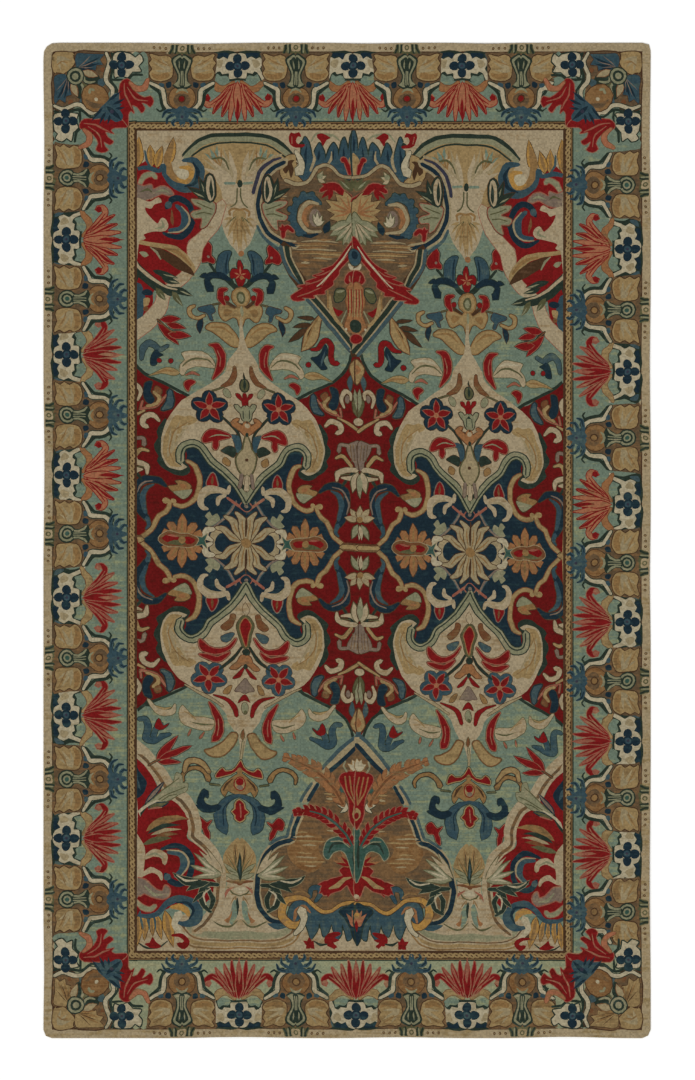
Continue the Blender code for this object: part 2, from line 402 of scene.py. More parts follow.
def onion():
    """The ivory body between the neck and the medallion, edged with bottle green leaves."""
    half = area("bottle", (21.9, 36.6), (23.5, 35.2), (24.8, 32.6), (24.3, 30.8), (25.4, 28.8), (25, 26.9),
                (24, 25.4), (24.6, 23.8), (23.4, 22.2), (21.6, 21), (19.9, 19.8), (17.4, 19.6),
                (15.4, 20.9), (16, 23), (20, 27), (21, 33))
    half += area("ivory", (0, 65), (0.7, 62), (1.2, 59), (2.8, 56.6), (4.4, 54), (5.4, 51.2), (8, 48.7),
                 (12, 46.1), (15.4, 43.7), (17.6, 42.2), (20, 39.3), (21.8, 36), (23.2, 32), (23.5, 28),
                 (22.7, 24.2), (21, 21.9), (18.3, 21.2), (16.2, 22.3), (16.2, 22.3), (18.6, 24.6),
                 (18.2, 27.4), (17, 28.8), (15, 29.4), (12.6, 28.5), (11, 26.4), (9.8, 24.2), (7, 21.9),
                 (4, 19), (0, 13), (0, 13))
    half += area("sand", (13.6, 36.6), (15.4, 38), (17, 37.4), (19.6, 37.6), (21.6, 33.6), (22.9, 30),
                 (22.7, 25.6), (20.6, 22.3), (17.6, 22.4), (19.4, 23.6), (18.9, 25.2), (20, 26.4),
                 (18.8, 27.8), (19.9, 29.2), (18.2, 30.4), (19.2, 32), (17.2, 32.8), (17.8, 34.6),
                 (15.6, 35))
    half += fan("buff", 0.9, 21.6, 25, (15.8, 36.4), (18.2, 36.6), (20.6, 34.4))
    half += line("ochre", (0.2, 0.5, 0.2), (15, 36.6), (19.4, 33.4), (21.2, 28), (19.8, 23.4))
    half += line("bottle", 2.7, (18, 23.9), (18.3, 26.6), (17.2, 28.6), (14.9, 29.4), (12.6, 28.5),
                 (11, 26.4), (9.8, 24.2), (7, 21.9), (4, 19), (1.6, 15.8), (0, 12.7))
    half += line("sage", 2, (18, 24), (18.3, 26.6), (17.2, 28.6), (14.9, 29.4), (12.6, 28.5), (11, 26.4),
                 (9.8, 24.2), (7, 21.9), (4, 19), (1.6, 15.8), (0, 12.7))
    half += line("bottle", 0.4, (17.9, 24), (18, 26.5), (17, 28.3), (14.9, 29.1), (12.8, 28.2),
                 (11.2, 26.2), (10, 24), (7.2, 21.7), (4.2, 18.7), (1.8, 15.5), (0, 12.2))
    return both(half)


def quatrefoil_flower(petal="navy"):
    """A flower of five round petals with a star of narrow madder petals over them."""
    shapes = spot(petal, 0, 0, 2.2)
    for angle in range(-54, 300, 72):
        shapes += placed(spot(petal, 2.9, 0, 2.25, 2.1), turn=angle)
    for angle in range(-54, 300, 72):
        shapes += placed(rimmed("rose", 0.2, leaf("madder", 0.3, 0, 4.5, 0, 1.8)), turn=angle)
    return shapes + spot("salmon", 0, 0, 0.8)


def onion_ornament():
    """Flowers, scroll leaves and the column of buds inside the upper ivory body."""
    half = placed(quatrefoil_flower(), x=10, y=40.5)
    half += line("bottle", (0.5, 0.7, 0.6, 0.5), (6.6, 37.8), (4.2, 35.4), (2.5, 33), (1.7, 30),
                 (2.3, 27.6))
    half += area("indigo", (2.4, 32.2), (4.8, 32.3), (3.9, 30.8), (3.3, 29.2), (2.9, 27.2), (1.9, 27.6),
                 (1.6, 30.2))
    half += rimmed("rose", 0.25, area("madder", (4.4, 31.7), (6.4, 33.3), (9, 34), (11.2, 33), (12.1, 31),
                                      (11.7, 30), (10, 30.3), (9.3, 30.4), (9.2, 28.6), (8.2, 27.8),
                                      (7.7, 29.2), (7.9, 30.6), (6.6, 31.2)))
    half += line("sage", (0.2, 0.45, 0.2), (5, 31.9), (7.8, 32.5), (10.4, 31.4))
    half += area("bottle", (3.1, 28.2), (5, 29), (6.9, 27.7), (6.6, 27), (5, 26.4), (3.6, 25.7), (3, 26.6))
    half += area("ochre", (4.4, 24.6), (6, 25.6), (6.6, 24), (5, 23))
    half += line("rust", (0.8, 1.6, 1.5, 0.8), (2.5, 52.8), (2.7, 50.2), (4, 48), (6.2, 46.7))
    half += line("moss", 0.4, (5.8, 46.6), (9, 45.6)) + spot("sage", 4.9, 44.8, 1, 1.5, -30)
    half += area("madder", (0, 40.9), (0.8, 41.2), (1, 42.8), (2.1, 43.8), (2.4, 45), (1.3, 44.8),
                 (0.7, 43.6), (0.5, 44.6), (0, 45))
    half += rimmed("bottle", 0.15, area("sage", (0, 36.6), (1.3, 37.2), (1.7, 39), (2.7, 40.2), (3.2, 41.4),
                                        (2.2, 41.6), (1.3, 40.6), (0.7, 41.2), (0, 40.8)))
    half += line("bottle", 0.25, (0.9, 37.4), (0.9, 39.8))
    half += rimmed("rust", 0.2, line("orange", (0.9, 1.6, 1.5, 1.2, 0.9), (0.5, 32.8), (1.3, 34.2),
                                     (2.6, 35.2), (3.7, 36.2), (2.5, 37)))
    half += area("orange", (0, 32.2), (1, 32.8), (1.3, 34.6), (0.8, 36.2), (0, 36.4))
    half += rimmed("moss", 0.4, area("buff", (0, 31.4), (0.7, 30.4), (1.1, 28.4), (2.3, 26.6), (2.7, 24.4),
                                     (1.9, 21.8), (0, 20.8)))
    half += line("lilac", 0.9, (1.4, 20.6), (1.9, 16.6)) + line("ivory", 0.9, (0, 20), (0.2, 16))
    column = leaf("bottle", 0.1, 45.6, 0.1, 51.4, 0.8)
    column += rimmed("bottle", 0.25, spot("moss", 0.1, 47.4, 1.2, 1.8))
    column += leaf("bottle", 0.1, 46, 0.1, 49.6, 0.9) + spot("ivory", 0.1, 35.3, 0.75)
    column += spot("umber", 0.1, 36.3, 0.4)
    column += spot("bottle", 0.1, 32.6, 0.5, 0.7) + spot("umber", 0, 25.1, 0.55)
    return both(half) + column


def lower_onion_ornament():
    """The lower ivory body's flowers, red crescents and buds, which are another set of motifs."""
    half = placed(quatrefoil_flower("indigo"), x=10, y=-40.8, lift=-1)
    half += line("bottle", (0.5, 0.8, 0.6), (1.1, -31.4), (3.4, -35), (7.4, -38.4))
    half += rimmed("rose", 0.3, area("madder", (2.6, -28.8), (4.6, -31), (7, -32.2), (10, -31.6),
                                     (12.4, -29.4), (12.7, -31.4), (11.4, -33.2), (8.5, -33.7),
                                     (5.6, -32.9), (3.4, -30.6)))
    half += rimmed("rose", 0.3, area("madder", (4.4, -32.9), (7.5, -34.5), (10.5, -34.1), (12.8, -34),
                                     (10.2, -35.6), (7.6, -35.9), (5.4, -34.8)))
    half += area("rust", (2.9, -21.8), (4.2, -21.6), (4.6, -23.4), (6.8, -25.4), (5.6, -26.6), (3.8, -25.6),
                 (3, -23.8))
    half += area("slate", (3.1, -27.2), (5, -27.4), (6.9, -28.4), (6.6, -29.8), (5.2, -30), (3.8, -28.9))
    half += rimmed("rust", 0.15, area("orange", (0, -34.2), (1.3, -34.3), (2.2, -36), (4.3, -38),
                                      (2.6, -38.3), (1, -36.9), (0, -36.6)))
    half += line("madder", (0.5, 1.2, 0.5), (0.4, -37.9), (1.9, -40), (3.3, -41))
    half += area("lilac", (0, -40.8), (1.2, -42.2), (2.7, -44.6), (1.2, -44.9), (0, -45.2))
    half += area("ochre", (3.6, -43), (5, -43.8), (5.9, -45.6), (4.6, -45.8), (3.8, -44.6))
    half += line("madder", (0.3, 1, 1.5, 1), (8.6, -46.2), (5, -47.4), (3, -49.4), (2.2, -52.4))
    half += area("madder", (0, -45.8), (1, -46.7), (1.8, -48.3), (0.8, -47.8), (0, -47.6))
    half += line("buff", (0.3, 0.9, 0.6), (16.8, -43.4), (11, -46.4), (6.2, -49.4))
    column = rimmed("moss", 0.7, rimmed("orange", 0.3, area("madder", (0, -22.6), (1.5, -25), (0.8, -28),
                                                            (0, -31.2), (-0.8, -28), (-1.5, -25))))
    column += spot("bottle", 0.2, -33, 1.1) + spot("bottle", 0.2, -37.3, 0.6, 0.8)
    column += spot("sage", 0.1, -50, 1, 1.8)
    return both(half) + column + spot("moss", 0.2, -51.2, 0.6) + leaf("ivory", 0, -21.8, 0, -17.8, 2)


def lower_neck():
    """Horns, cream leaves and sand leaves on each side of the lower neck."""
    half = rimmed("rose", 0.25, line("madder", (0.3, 1.5, 2, 2.2, 2, 0.8), (9.8, -48.6), (8, -51.5),
                                     (6.8, -54.4), (6.8, -57), (7.7, -59.2), (8.3, -60)))
    half += line("rose", 0.3, (7.2, -53.4), (6.9, -56), (7.4, -58.4))
    half += area("ivory", (8.4, -53.8), (11, -53.1), (14, -52.8), (16.2, -50.4), (17.2, -49.7), (18.2, -52),
                 (17.6, -54.5), (15, -56.2), (11, -57.1), (8.8, -56.4))
    half += line("moss", (0.2, 0.6, 0.2), (8.6, -54.9), (11.5, -55.4), (15.2, -54.4))
    half += line("sand", 0.4, (13.4, -53.8), (15.2, -52), (16.6, -51.4))
    half += line("rose", (0.3, 0.8, 0.4), (11, -57.6), (12, -59.4))
    half += line("rose", (0.3, 0.8, 0.4), (14.8, -57), (15.2, -58.8))
    half += line("ivory", (0.6, 1.6, 1.9, 1.5, 0.7), (19.3, -49.6), (19.9, -51.5), (22, -52.2),
                 (24.4, -51.2), (26.8, -48.2))
    half += line("sand", (0.2, 0.7, 0.2), (20.4, -50.4), (22.4, -51), (24.6, -50))
    half += rimmed("rust", 0.3, area("sand", (1.6, -58.4), (3.2, -62.2), (5.8, -64.8), (8.8, -64.5),
                                     (10.2, -62.9), (8, -62.4), (5.2, -60.2), (3.2, -57.6)))
    return both(half) + leaf("rust", 0, -59.6, 0, -56.2, 1.1) + line("buff", 0.5, (0.1, -60), (0, -65.4))


def lower_lily():
    """The crown, cartouche and turned-down lily of the lower sea green ground."""
    half = rimmed("sand", 0.3, area("madder", (0, -65.9), (0.8, -67.5), (2.2, -68.9), (4.2, -69.2),
                                    (5.2, -68.3), (6.4, -69.4), (6.7, -71), (5, -70.6), (2.6, -70),
                                    (0.9, -68.9), (0, -68.2)))
    half += area("ochre", (0, -70), (2.2, -71.1), (4.2, -72.6), (5.3, -74.8), (4.4, -77), (3.2, -75.2),
                 (2, -75.9), (0, -76.3))
    half += line("umber", (0.3, 0.8, 0.4), (2.2, -71.6), (3.8, -73.2), (4.5, -75))
    half += rimmed("umber", 0.15, line("ochre", (1.4, 1.2, 1, 1, 0.9, 0.4), (8.8, -71.9), (10, -69.6),
                                       (12.4, -68.3), (15, -69), (16.4, -70.8), (16.2, -72.4)))
    half += line("indigo", (0.9, 1.5, 2.6, 3.4, 3.5, 1.6), (0, -76.4), (3, -77.5), (5.2, -80), (5.7, -83),
                 (4.9, -86), (4.2, -87.7))
    half += line("slate", (0.2, 0.5, 0.3), (3.4, -78), (6, -81), (5.9, -85))
    half += line("navy", (0.2, 0.4, 0.3), (3, -78.4), (4.8, -81.2), (4.4, -85.6))
    half += line("navy", (1.8, 2.2, 2.4, 1.6, 2, 1), (6, -80.2), (8.5, -80.9), (10.8, -79.9), (11.2, -77.6),
                 (10, -75.7), (9.4, -77))
    half += leaf("navy", 10.4, -80.4, 12.9, -79.6, 1.2) + line("moss", 0.5, (5.8, -73.4), (8.4, -73.2))
    half += rimmed("rose", 0.2, area("madder", (8, -84.4), (9.6, -85), (11.4, -83.2), (12.9, -84.6),
                                     (12.4, -86.8), (10.8, -86.8), (10, -89), (8.9, -90), (8.8, -88),
                                     (9.4, -86.4)))
    column = rimmed("madder", 0.3, spot("sand", 0, -72.9, 1.5, 1.9)) + spot("madder", 0, -72.3, 1.2)
    column += spot("lilac", 0.1, -74, 0.9, 0.7)
    column += spot("ochre", 0, -69.2, 0.8, 1.2)
    column += rimmed("sand", 0.4, area("madder", (0, -77.8), (1.3, -79), (1.4, -80.6), (2.6, -81.6),
                                       (1.4, -82.6), (1.3, -83.6), (0, -84.4), (-1.2, -83.4), (-1.3, -82.4),
                                       (-2.3, -81.4), (-1.3, -80.4), (-1.1, -79)))
    return both(half) + column + line("rose", 0.4, (0.2, -79), (0.3, -83))


def medallion():
    """The navy medallion: ground, scalloped sand outline, scrolls, straps and three flowers."""
    edge = ((16.4, 25.6), (16.3, 24), (14.2, 22.8), (12.9, 19.6), (13, 16.2), (14, 13), (15.8, 11.1),
            (18, 10.5), (19.8, 11), (21.3, 10.4), (22.2, 8.7), (24, 7.3), (25, 5.2), (26.3, 3), (28.4, 1))
    quarter = area("navy", (0, 12.2), (4.5, 18.8), (10.4, 24), (12.8, 28.2), (15, 29), (16.8, 27.5), *edge,
                   (29.4, -0.5), (29.4, -0.5), (0, -0.5), (0, -0.5))
    quarter += rimmed("rust", 0.25, line("sand", (0.7, 1.2, 1.3, 1.2, 1.2, 1.1, 1.2, 1), *edge[1:9]))
    quarter += rimmed("rust", 0.25, line("sand", (0.9, 1.1, 1.2, 1.1, 1), (22, 12.4), (21, 11.4),
                                         (22.2, 8.7), (24, 7.3), (25, 5.2), (26.3, 3), (29, 0.6)))
    quarter += spot("sand", 22.2, 12, 0.9) + spot("sand", 19.9, 12, 0.8)
    quarter += rimmed("lilac", 0.3, area("madder", (7.8, 17), (8.2, 19), (9.3, 20.7), (10.5, 19),
                                         (10.8, 17), (9.3, 16.5)))
    quarter += leaf("rust", 9.3, 17, 9.3, 20, 0.8)
    quarter += line("ivory", (0.9, 1.5, 1.8, 2.3, 2.1, 1.8, 1.4, 0.8), (4.7, 17), (5.1, 15.2), (7, 15.7),
                    (10, 15.9), (12, 14.5), (12.6, 12.2), (11.9, 10.4), (10.7, 10))
    quarter += line("ivory", (1, 1.5, 0.9), (5.8, 14.2), (7.6, 13.2), (8, 11.4))
    quarter += line("buff", (0.3, 0.8, 0.3), (7.4, 15.1), (10, 15), (11.9, 12.9))
    quarter += line("lilac", 0.8, (2.9, 12.4), (5, 8.6), (8.2, 5.2), (12, 3))
    quarter += line("slate", 0.3, (3.1, 12.6), (5.3, 8.8), (8.4, 5.5), (12, 3.4))
    quarter += area("sage", (7.2, 6.6), (7.9, 8.6), (9.2, 7.8), (10, 9.2), (11.3, 8), (10.4, 6.8),
                    (11.4, 5.4), (9.6, 4.8))
    quarter += line("rose", 0.8, (1, 10.4), (3.4, 12), (5.2, 13.4))
    quarter += line("buff", (1, 1.8, 1.7, 1), (9.2, 0), (9, 2), (7.6, 3.4), (5.6, 3.6))
    for path in (((0.8, 0.6), (4, 1.8), (6, 4), (8.4, 4.2)),
                 ((0.7, 0.8), (2.6, 3.8), (3.4, 6.4), (5.8, 7.8)),
                 ((0.5, 1), (1, 4.4), (1.1, 7), (2.9, 9.2))):
        quarter += rimmed("umber", 0.25, line("buff", (1.4, 2, 1.9, 0.8), *path))
        quarter += line("ochre", (0.2, 0.5, 0.2), *path[:3])
    quarter += rimmed("rose", 0.3, area("navy", (0, 9.6), (1.7, 11.2), (0, 12.8)))
    quarter += spot("lilac", 0, 11.2, 0.6) + line("umber", (0.4, 0.8, 0.3), (0, 2), (0, 5), (0, 9))
    quarter += rimmed("umber", 0.2, line("linen", (0.8, 1.7, 1.9, 1.2), (9.4, 0.4), (11.2, 1.6),
                                         (10.8, 3.6), (9, 3.8)))
    quarter += placed(side_flower_half(), x=17.6)
    top = both(quarter)
    shapes = []
    for shape in top:
        shapes += [shape] + placed([shape], lift=-1)
    return shapes + spot("ochre", 0, 0, 1.5) + placed(both(side_flower_heart()), y=0.2)


def side_flower_half():
    """The upper half of an orange flower at the side of the medallion."""
    half = []
    for angle, reach, width in ((-62, 5.6, 2), (62, 5.6, 2), (-33, 7, 2.3), (33, 7, 2.3), (0, 8.4, 2.5)):
        petal = rimmed("umber", 0.2, line("orange", (0.9, width, width * 0.9, 0.5), (0, 1.4), (0, 3.4),
                                          (0, 6), (0, reach - 0.5)))
        half += placed(petal + leaf("ochre", 0, 1.6, 0, reach - 1.2, 0.8), turn=angle)
    return half


def side_flower_heart():
    """The madder band with green leaves across the middle of a side flower, to the right of the axis."""
    heart = rimmed("buff", 0.2, area("teal", (10.6, 2.2), (12, 1), (14, 1.4), (14, -1.4), (12, -1),
                                     (10.6, -2.2), (11.4, 0)))
    heart += rimmed("buff", 0.2, area("rust", (13, 0.6), (15.4, 2), (18.4, 2), (21, 2.6), (23.6, 1.4),
                                      (24, -0.6), (21.4, -2), (18, -1.8), (14.6, -1.8)))
    heart += area("madder", (13.8, 0.4), (15.8, 1.2), (18, 0.9), (21, 1.7), (23.2, 0.6), (21.4, -1),
                  (18, -0.8), (15, -1))
    return (heart + leaf("moss", 16.4, -0.6, 22.2, -1, 1.6) + spot("ochre", 17.6, 0.2, 1.1)
            + leaf("rose", 18.6, 1, 22, 1.4, 0.7))


def madder_band():
    """What lies on the madder ground between the medallions, for the upper half of one side."""
    side = area("ochre", (15.3, 16.4), (16.8, 18), (19.5, 18), (18.9, 16.9), (21.4, 16.2), (19.6, 14.4),
                (17.4, 14.4))
    side += area("sage", (15, 15.8), (17, 15.4), (20, 14.9), (18.6, 13.6), (17, 12.7), (15.6, 13.8))
    side += area("orange", (16.6, 17), (18.4, 17.2), (18, 16), (16.8, 15.9))
    side += line("navy", (0.7, 1.8, 2.3, 1.9, 1.7, 2.3, 1.6), (22, 16.2), (24.3, 18.1), (27.4, 18.2),
                 (29.8, 16.4), (30, 13), (28.9, 9), (27.2, 6.2))
    side += line("indigo", (0.4, 1.3, 1.6, 1), (25.4, 16.9), (27.6, 15.3), (28.6, 12.4), (27.6, 8))
    side += line("lilac", (0.3, 0.5, 0.6, 0.3), (25.8, 18), (28.6, 16.9), (30.6, 13.4), (30.2, 10))
    side += line("bottle", (0.5, 0.8, 1), (28.6, 18), (30.4, 20.4), (32, 22.6))
    side += line("indigo", (1.4, 1, 0.4), (27.2, 6.4), (26.6, 4.6), (27.6, 3.2))
    side += line("ivory", (0.7, 1.5, 1.5, 1.6, 1.3), (23.8, 36), (25.6, 37.7), (28, 36.9), (28.5, 34.9),
                 (27.3, 34.2))
    side += line("rose", (0.5, 0.9, 0.8), (21.8, 44), (24.6, 40.6), (29, 39.2))
    side += line("sand", (0.5, 0.9, 0.8), (27.8, 38.8), (31, 37), (34.3, 34.8))
    side += line("lilac", (1.2, 0.9, 0.9), (27.9, 28.6), (28.4, 30.6), (30.8, 30.5))
    side += line("sand", (0.6, 1.1, 1), (26.8, 26.6), (29, 27.2), (31.6, 24.4))
    side += line("ivory", (0.7, 1.7, 1.6, 1.4), (27.2, 19.9), (27.6, 22.2), (30, 23.2), (33, 23.2))
    side += line("ivory", (0.5, 1.5, 1), (28.6, 21), (31.6, 20.6), (33.2, 21.6))
    side += line("moss", 0.3, (28.2, 21.8), (31.2, 21.9))
    side += area("lilac", (34.2, 31.6), (31.8, 31.4), (30.4, 30.2), (31, 27.6), (32.5, 25.4), (32.8, 24),
                 (34.2, 23.4))
    for x in (31.4, 32.3, 33.2):
        side += line("taupe", 0.25, (x, 30.8), (x + 0.4, 26))
    side += rimmed("moss", 0.25, leaf("ivory", 33.4, 22.6, 31.9, 16.6, 2.2))
    side += leaf("sage", 34, 22, 33.9, 14.8, 1.8)
    side += line("sand", 1.3, (28.6, 0), (34.4, 0)) + line("rust", 0.3, (29, 0.9), (34.4, 0.9))
    for angle in (0, 38, 76):
        side += placed(rimmed("rust", 0.15, leaf("buff", 0, 0.6, 0, 4.6, 1.9)), turn=angle, x=34, y=8)
    side += rimmed("moss", 0.2, leaf("sage", 33.4, 6.8, 31.4, 2.6, 1.7))
    side += leaf("ivory", 34, 6.6, 33.6, 2.2, 1.3) + spot("ochre", 34, 8.4, 1)
    return side


def madder_shoulder():
    """Curls and leaves on the madder ground beside the ivory body, up to the bottle green edge."""
    side = rimmed("navy", 0.3, line("slate", (1.1, 2, 1.9, 0.7), (20.8, 45), (20.7, 42.4), (21.4, 40.6),
                                    (23, 39.5)))
    side += rimmed("rust", 0.15, line("sand", (0.9, 1.1, 0.9, 0.8), (25.2, 44.4), (23.9, 42.9),
                                      (24.6, 41.2), (27.2, 40.1)))
    side += area("navy", (25.7, 47.6), (27.8, 47.2), (28.3, 44), (27.7, 41.6), (26.2, 40.8), (25.2, 42.4),
                 (26.2, 44.6))
    side += area("rust", (23, 45.4), (24.6, 46.2), (25, 44.8), (23.6, 43.6))
    side += line("ivory", (0.6, 1.2, 1.3, 1, 0.6), (29.8, 42), (29, 44.6), (30.2, 46.6), (31.8, 46),
                 (31.9, 44.2))
    side += line("rose", 0.6, (28.6, 41.6), (29, 39.4)) + leaf("slate", 32.2, 51.6, 31.8, 46.6, 1.6)
    side += rimmed("rust", 0.2, area("sand", (31.9, 53.8), (34.2, 56), (34.2, 49.4), (33, 50.2)))
    side += area("orange", (32.8, 53.4), (34.2, 54.6), (34.2, 51.6))
    side += leaf("moss", 32.6, 44.6, 34, 38.4, 1.8)
    side += leaf("sage", 33.2, 47.6, 33.8, 40.4, 1.3) + spot("ivory", 34, 37.6, 1.5, 1.1)
    side += spot("lilac", 30.8, 44.4, 0.7, 1.2)
    return side


def pendant_outlines():
    """The double outline of the brown cartouche at the top: sand edges under navy and slate lines."""
    shapes = line("buff", 0.6, (12.6, 116.4), (8.6, 114.9), (5.6, 111.6), (4.4, 107.6), (3.9, 104.4))
    shapes += line("purple", (0.6, 1.1, 1.1, 1), (12.4, 115.5), (9, 114), (6, 110.8), (4.8, 107.4),
                   (4.2, 104.8))
    shapes += line("buff", 2.5, (13.6, 114.4), (9.6, 112), (7.2, 108.6), (6, 104.6), (5.6, 100),
                   (6.4, 96.4), (8.2, 93.4), (11.2, 91), (14, 90), (16.6, 89.7))
    shapes += line("slate", (0.7, 1, 0.9), (5.2, 95), (6.8, 92.4), (9.2, 90), (11.8, 88.2))
    shapes += line("navy", 1.2, (13.4, 114.2), (9.6, 112), (7.2, 108.6), (6, 104.6), (5.6, 100),
                   (6.4, 96.4), (8.2, 93.4), (11.2, 91), (14, 90), (16.6, 89.7))
    for yarn, width, out in (("umber", 3.6, 0), ("slate", 1.1, -1.15), ("buff", 0.5, -0.35),
                             ("bottle", 1.3, 0.5), ("buff", 0.5, 1.5)):
        shapes += line(yarn, width, (13.4 + out, 89), (14.2 + out, 85), (16 + out, 81.4),
                       (18.6 + 0.8 * out, 77.8 - 0.6 * out))
        shapes += line(yarn, width, (20.8 + 0.8 * out, 74.4 + 0.6 * out),
                       (24.6 + 0.8 * out, 69.8 + 0.6 * out), (28 + 0.8 * out, 65.6 + 0.6 * out),
                       (34.4 + 0.8 * out, 58.2 + 0.6 * out))
    return shapes


def pendant_ground():
    """The brown ground of a central cartouche."""
    return area("taupe", (34.4, 118), (34.4, 118), (28, 113), (22.6, 113), (20, 108), (14, 108), (12, 113),
                (9.6, 112), (7.2, 108.6), (5.8, 104), (5.7, 99), (7.6, 94), (11, 91), (14.6, 89.6),
                (15.4, 86), (17, 81.6), (22, 74), (28.4, 66.2), (34.4, 59.4), (34.4, 59.4))


def crown():
    """The blue crown over the top cartouche, its sand scroll and the ivory curl inside it."""
    flames = area("indigo", (18.4, 108.2), (17, 110.4), (18.9, 112.6), (18.6, 116), (18.6, 119),
                  (19.7, 121.7), (21.2, 118.4), (21.9, 115.4), (22.6, 118), (23.9, 119.8), (25.1, 117.6),
                  (25.6, 115.2), (26.4, 117.8), (28.2, 120), (29.2, 118), (29.4, 115.8), (30.2, 119.2),
                  (31.3, 121.6), (32.1, 119.6), (32.5, 117.6), (33.1, 121.4), (34.3, 123.9), (34.3, 110.2),
                  (30.2, 110.4), (27.8, 112.4), (25.4, 113.4), (22.8, 112.6), (21.4, 110.4), (20, 108.4))
    shapes = rimmed("bottle", 0.35, flames)
    for x0, y0, x1, y1 in ((19.6, 112, 20, 119.4), (23.4, 114.6, 23.8, 118), (27.6, 114.2, 28, 118.2),
                           (30.8, 113, 31.2, 119), (33.6, 117, 34, 122)):
        shapes += leaf("navy", x0, y0, x1, y1, 0.8)
    shapes += line("buff", (0.4, 0.9, 0.7), (21.9, 117.4), (22.4, 115), (21.2, 111.8))
    shapes += line("buff", (0.3, 0.8, 0.7), (27.3, 117.4), (27.3, 115), (26.2, 113.2))
    shapes += area("sand", (34.3, 116.8), (33, 116.2), (32.2, 114.2), (33.4, 110.8), (34.3, 110.6))
    shapes += rimmed("rose", 0.3, line("madder", (0.9, 1.2, 0.7), (31, 115), (32.2, 113.2), (32.8, 110.9))
                     + spot("madder", 31, 114.9, 0.9, 0.7))
    shapes += rimmed("umber", 0.25, area("sand", (17, 116.3), (14, 115.8), (12.3, 113.2), (12.3, 110.4),
                                         (14, 108.4), (17, 107.6), (18.6, 108.6), (17.2, 110),
                                         (17.2, 111.6), (16.8, 114.2)))
    shapes += area("umber", (12.9, 111.6), (14, 110.6), (14.6, 111.8), (15.4, 109.4), (16.2, 111.6),
                   (15.6, 113.6), (16.6, 114.6), (14.8, 114.6), (13.4, 113.4))
    shapes += rimmed("umber", 0.2, line("buff", (1.1, 1, 0.9, 0.8), (13.8, 108.6), (17, 107.7), (20, 108.3),
                                        (21.8, 110.6), (23.3, 112.7), (25.6, 113.4), (27.8, 112.4),
                                        (30.2, 110.4), (34.4, 109.8)))
    return (shapes
            + rimmed("bottle", 0.2, line("linen", (1, 1.6, 2, 2.9), (16.9, 117.4), (18.2, 115),
                                         (18.5, 112.8), (17.6, 111.3))))


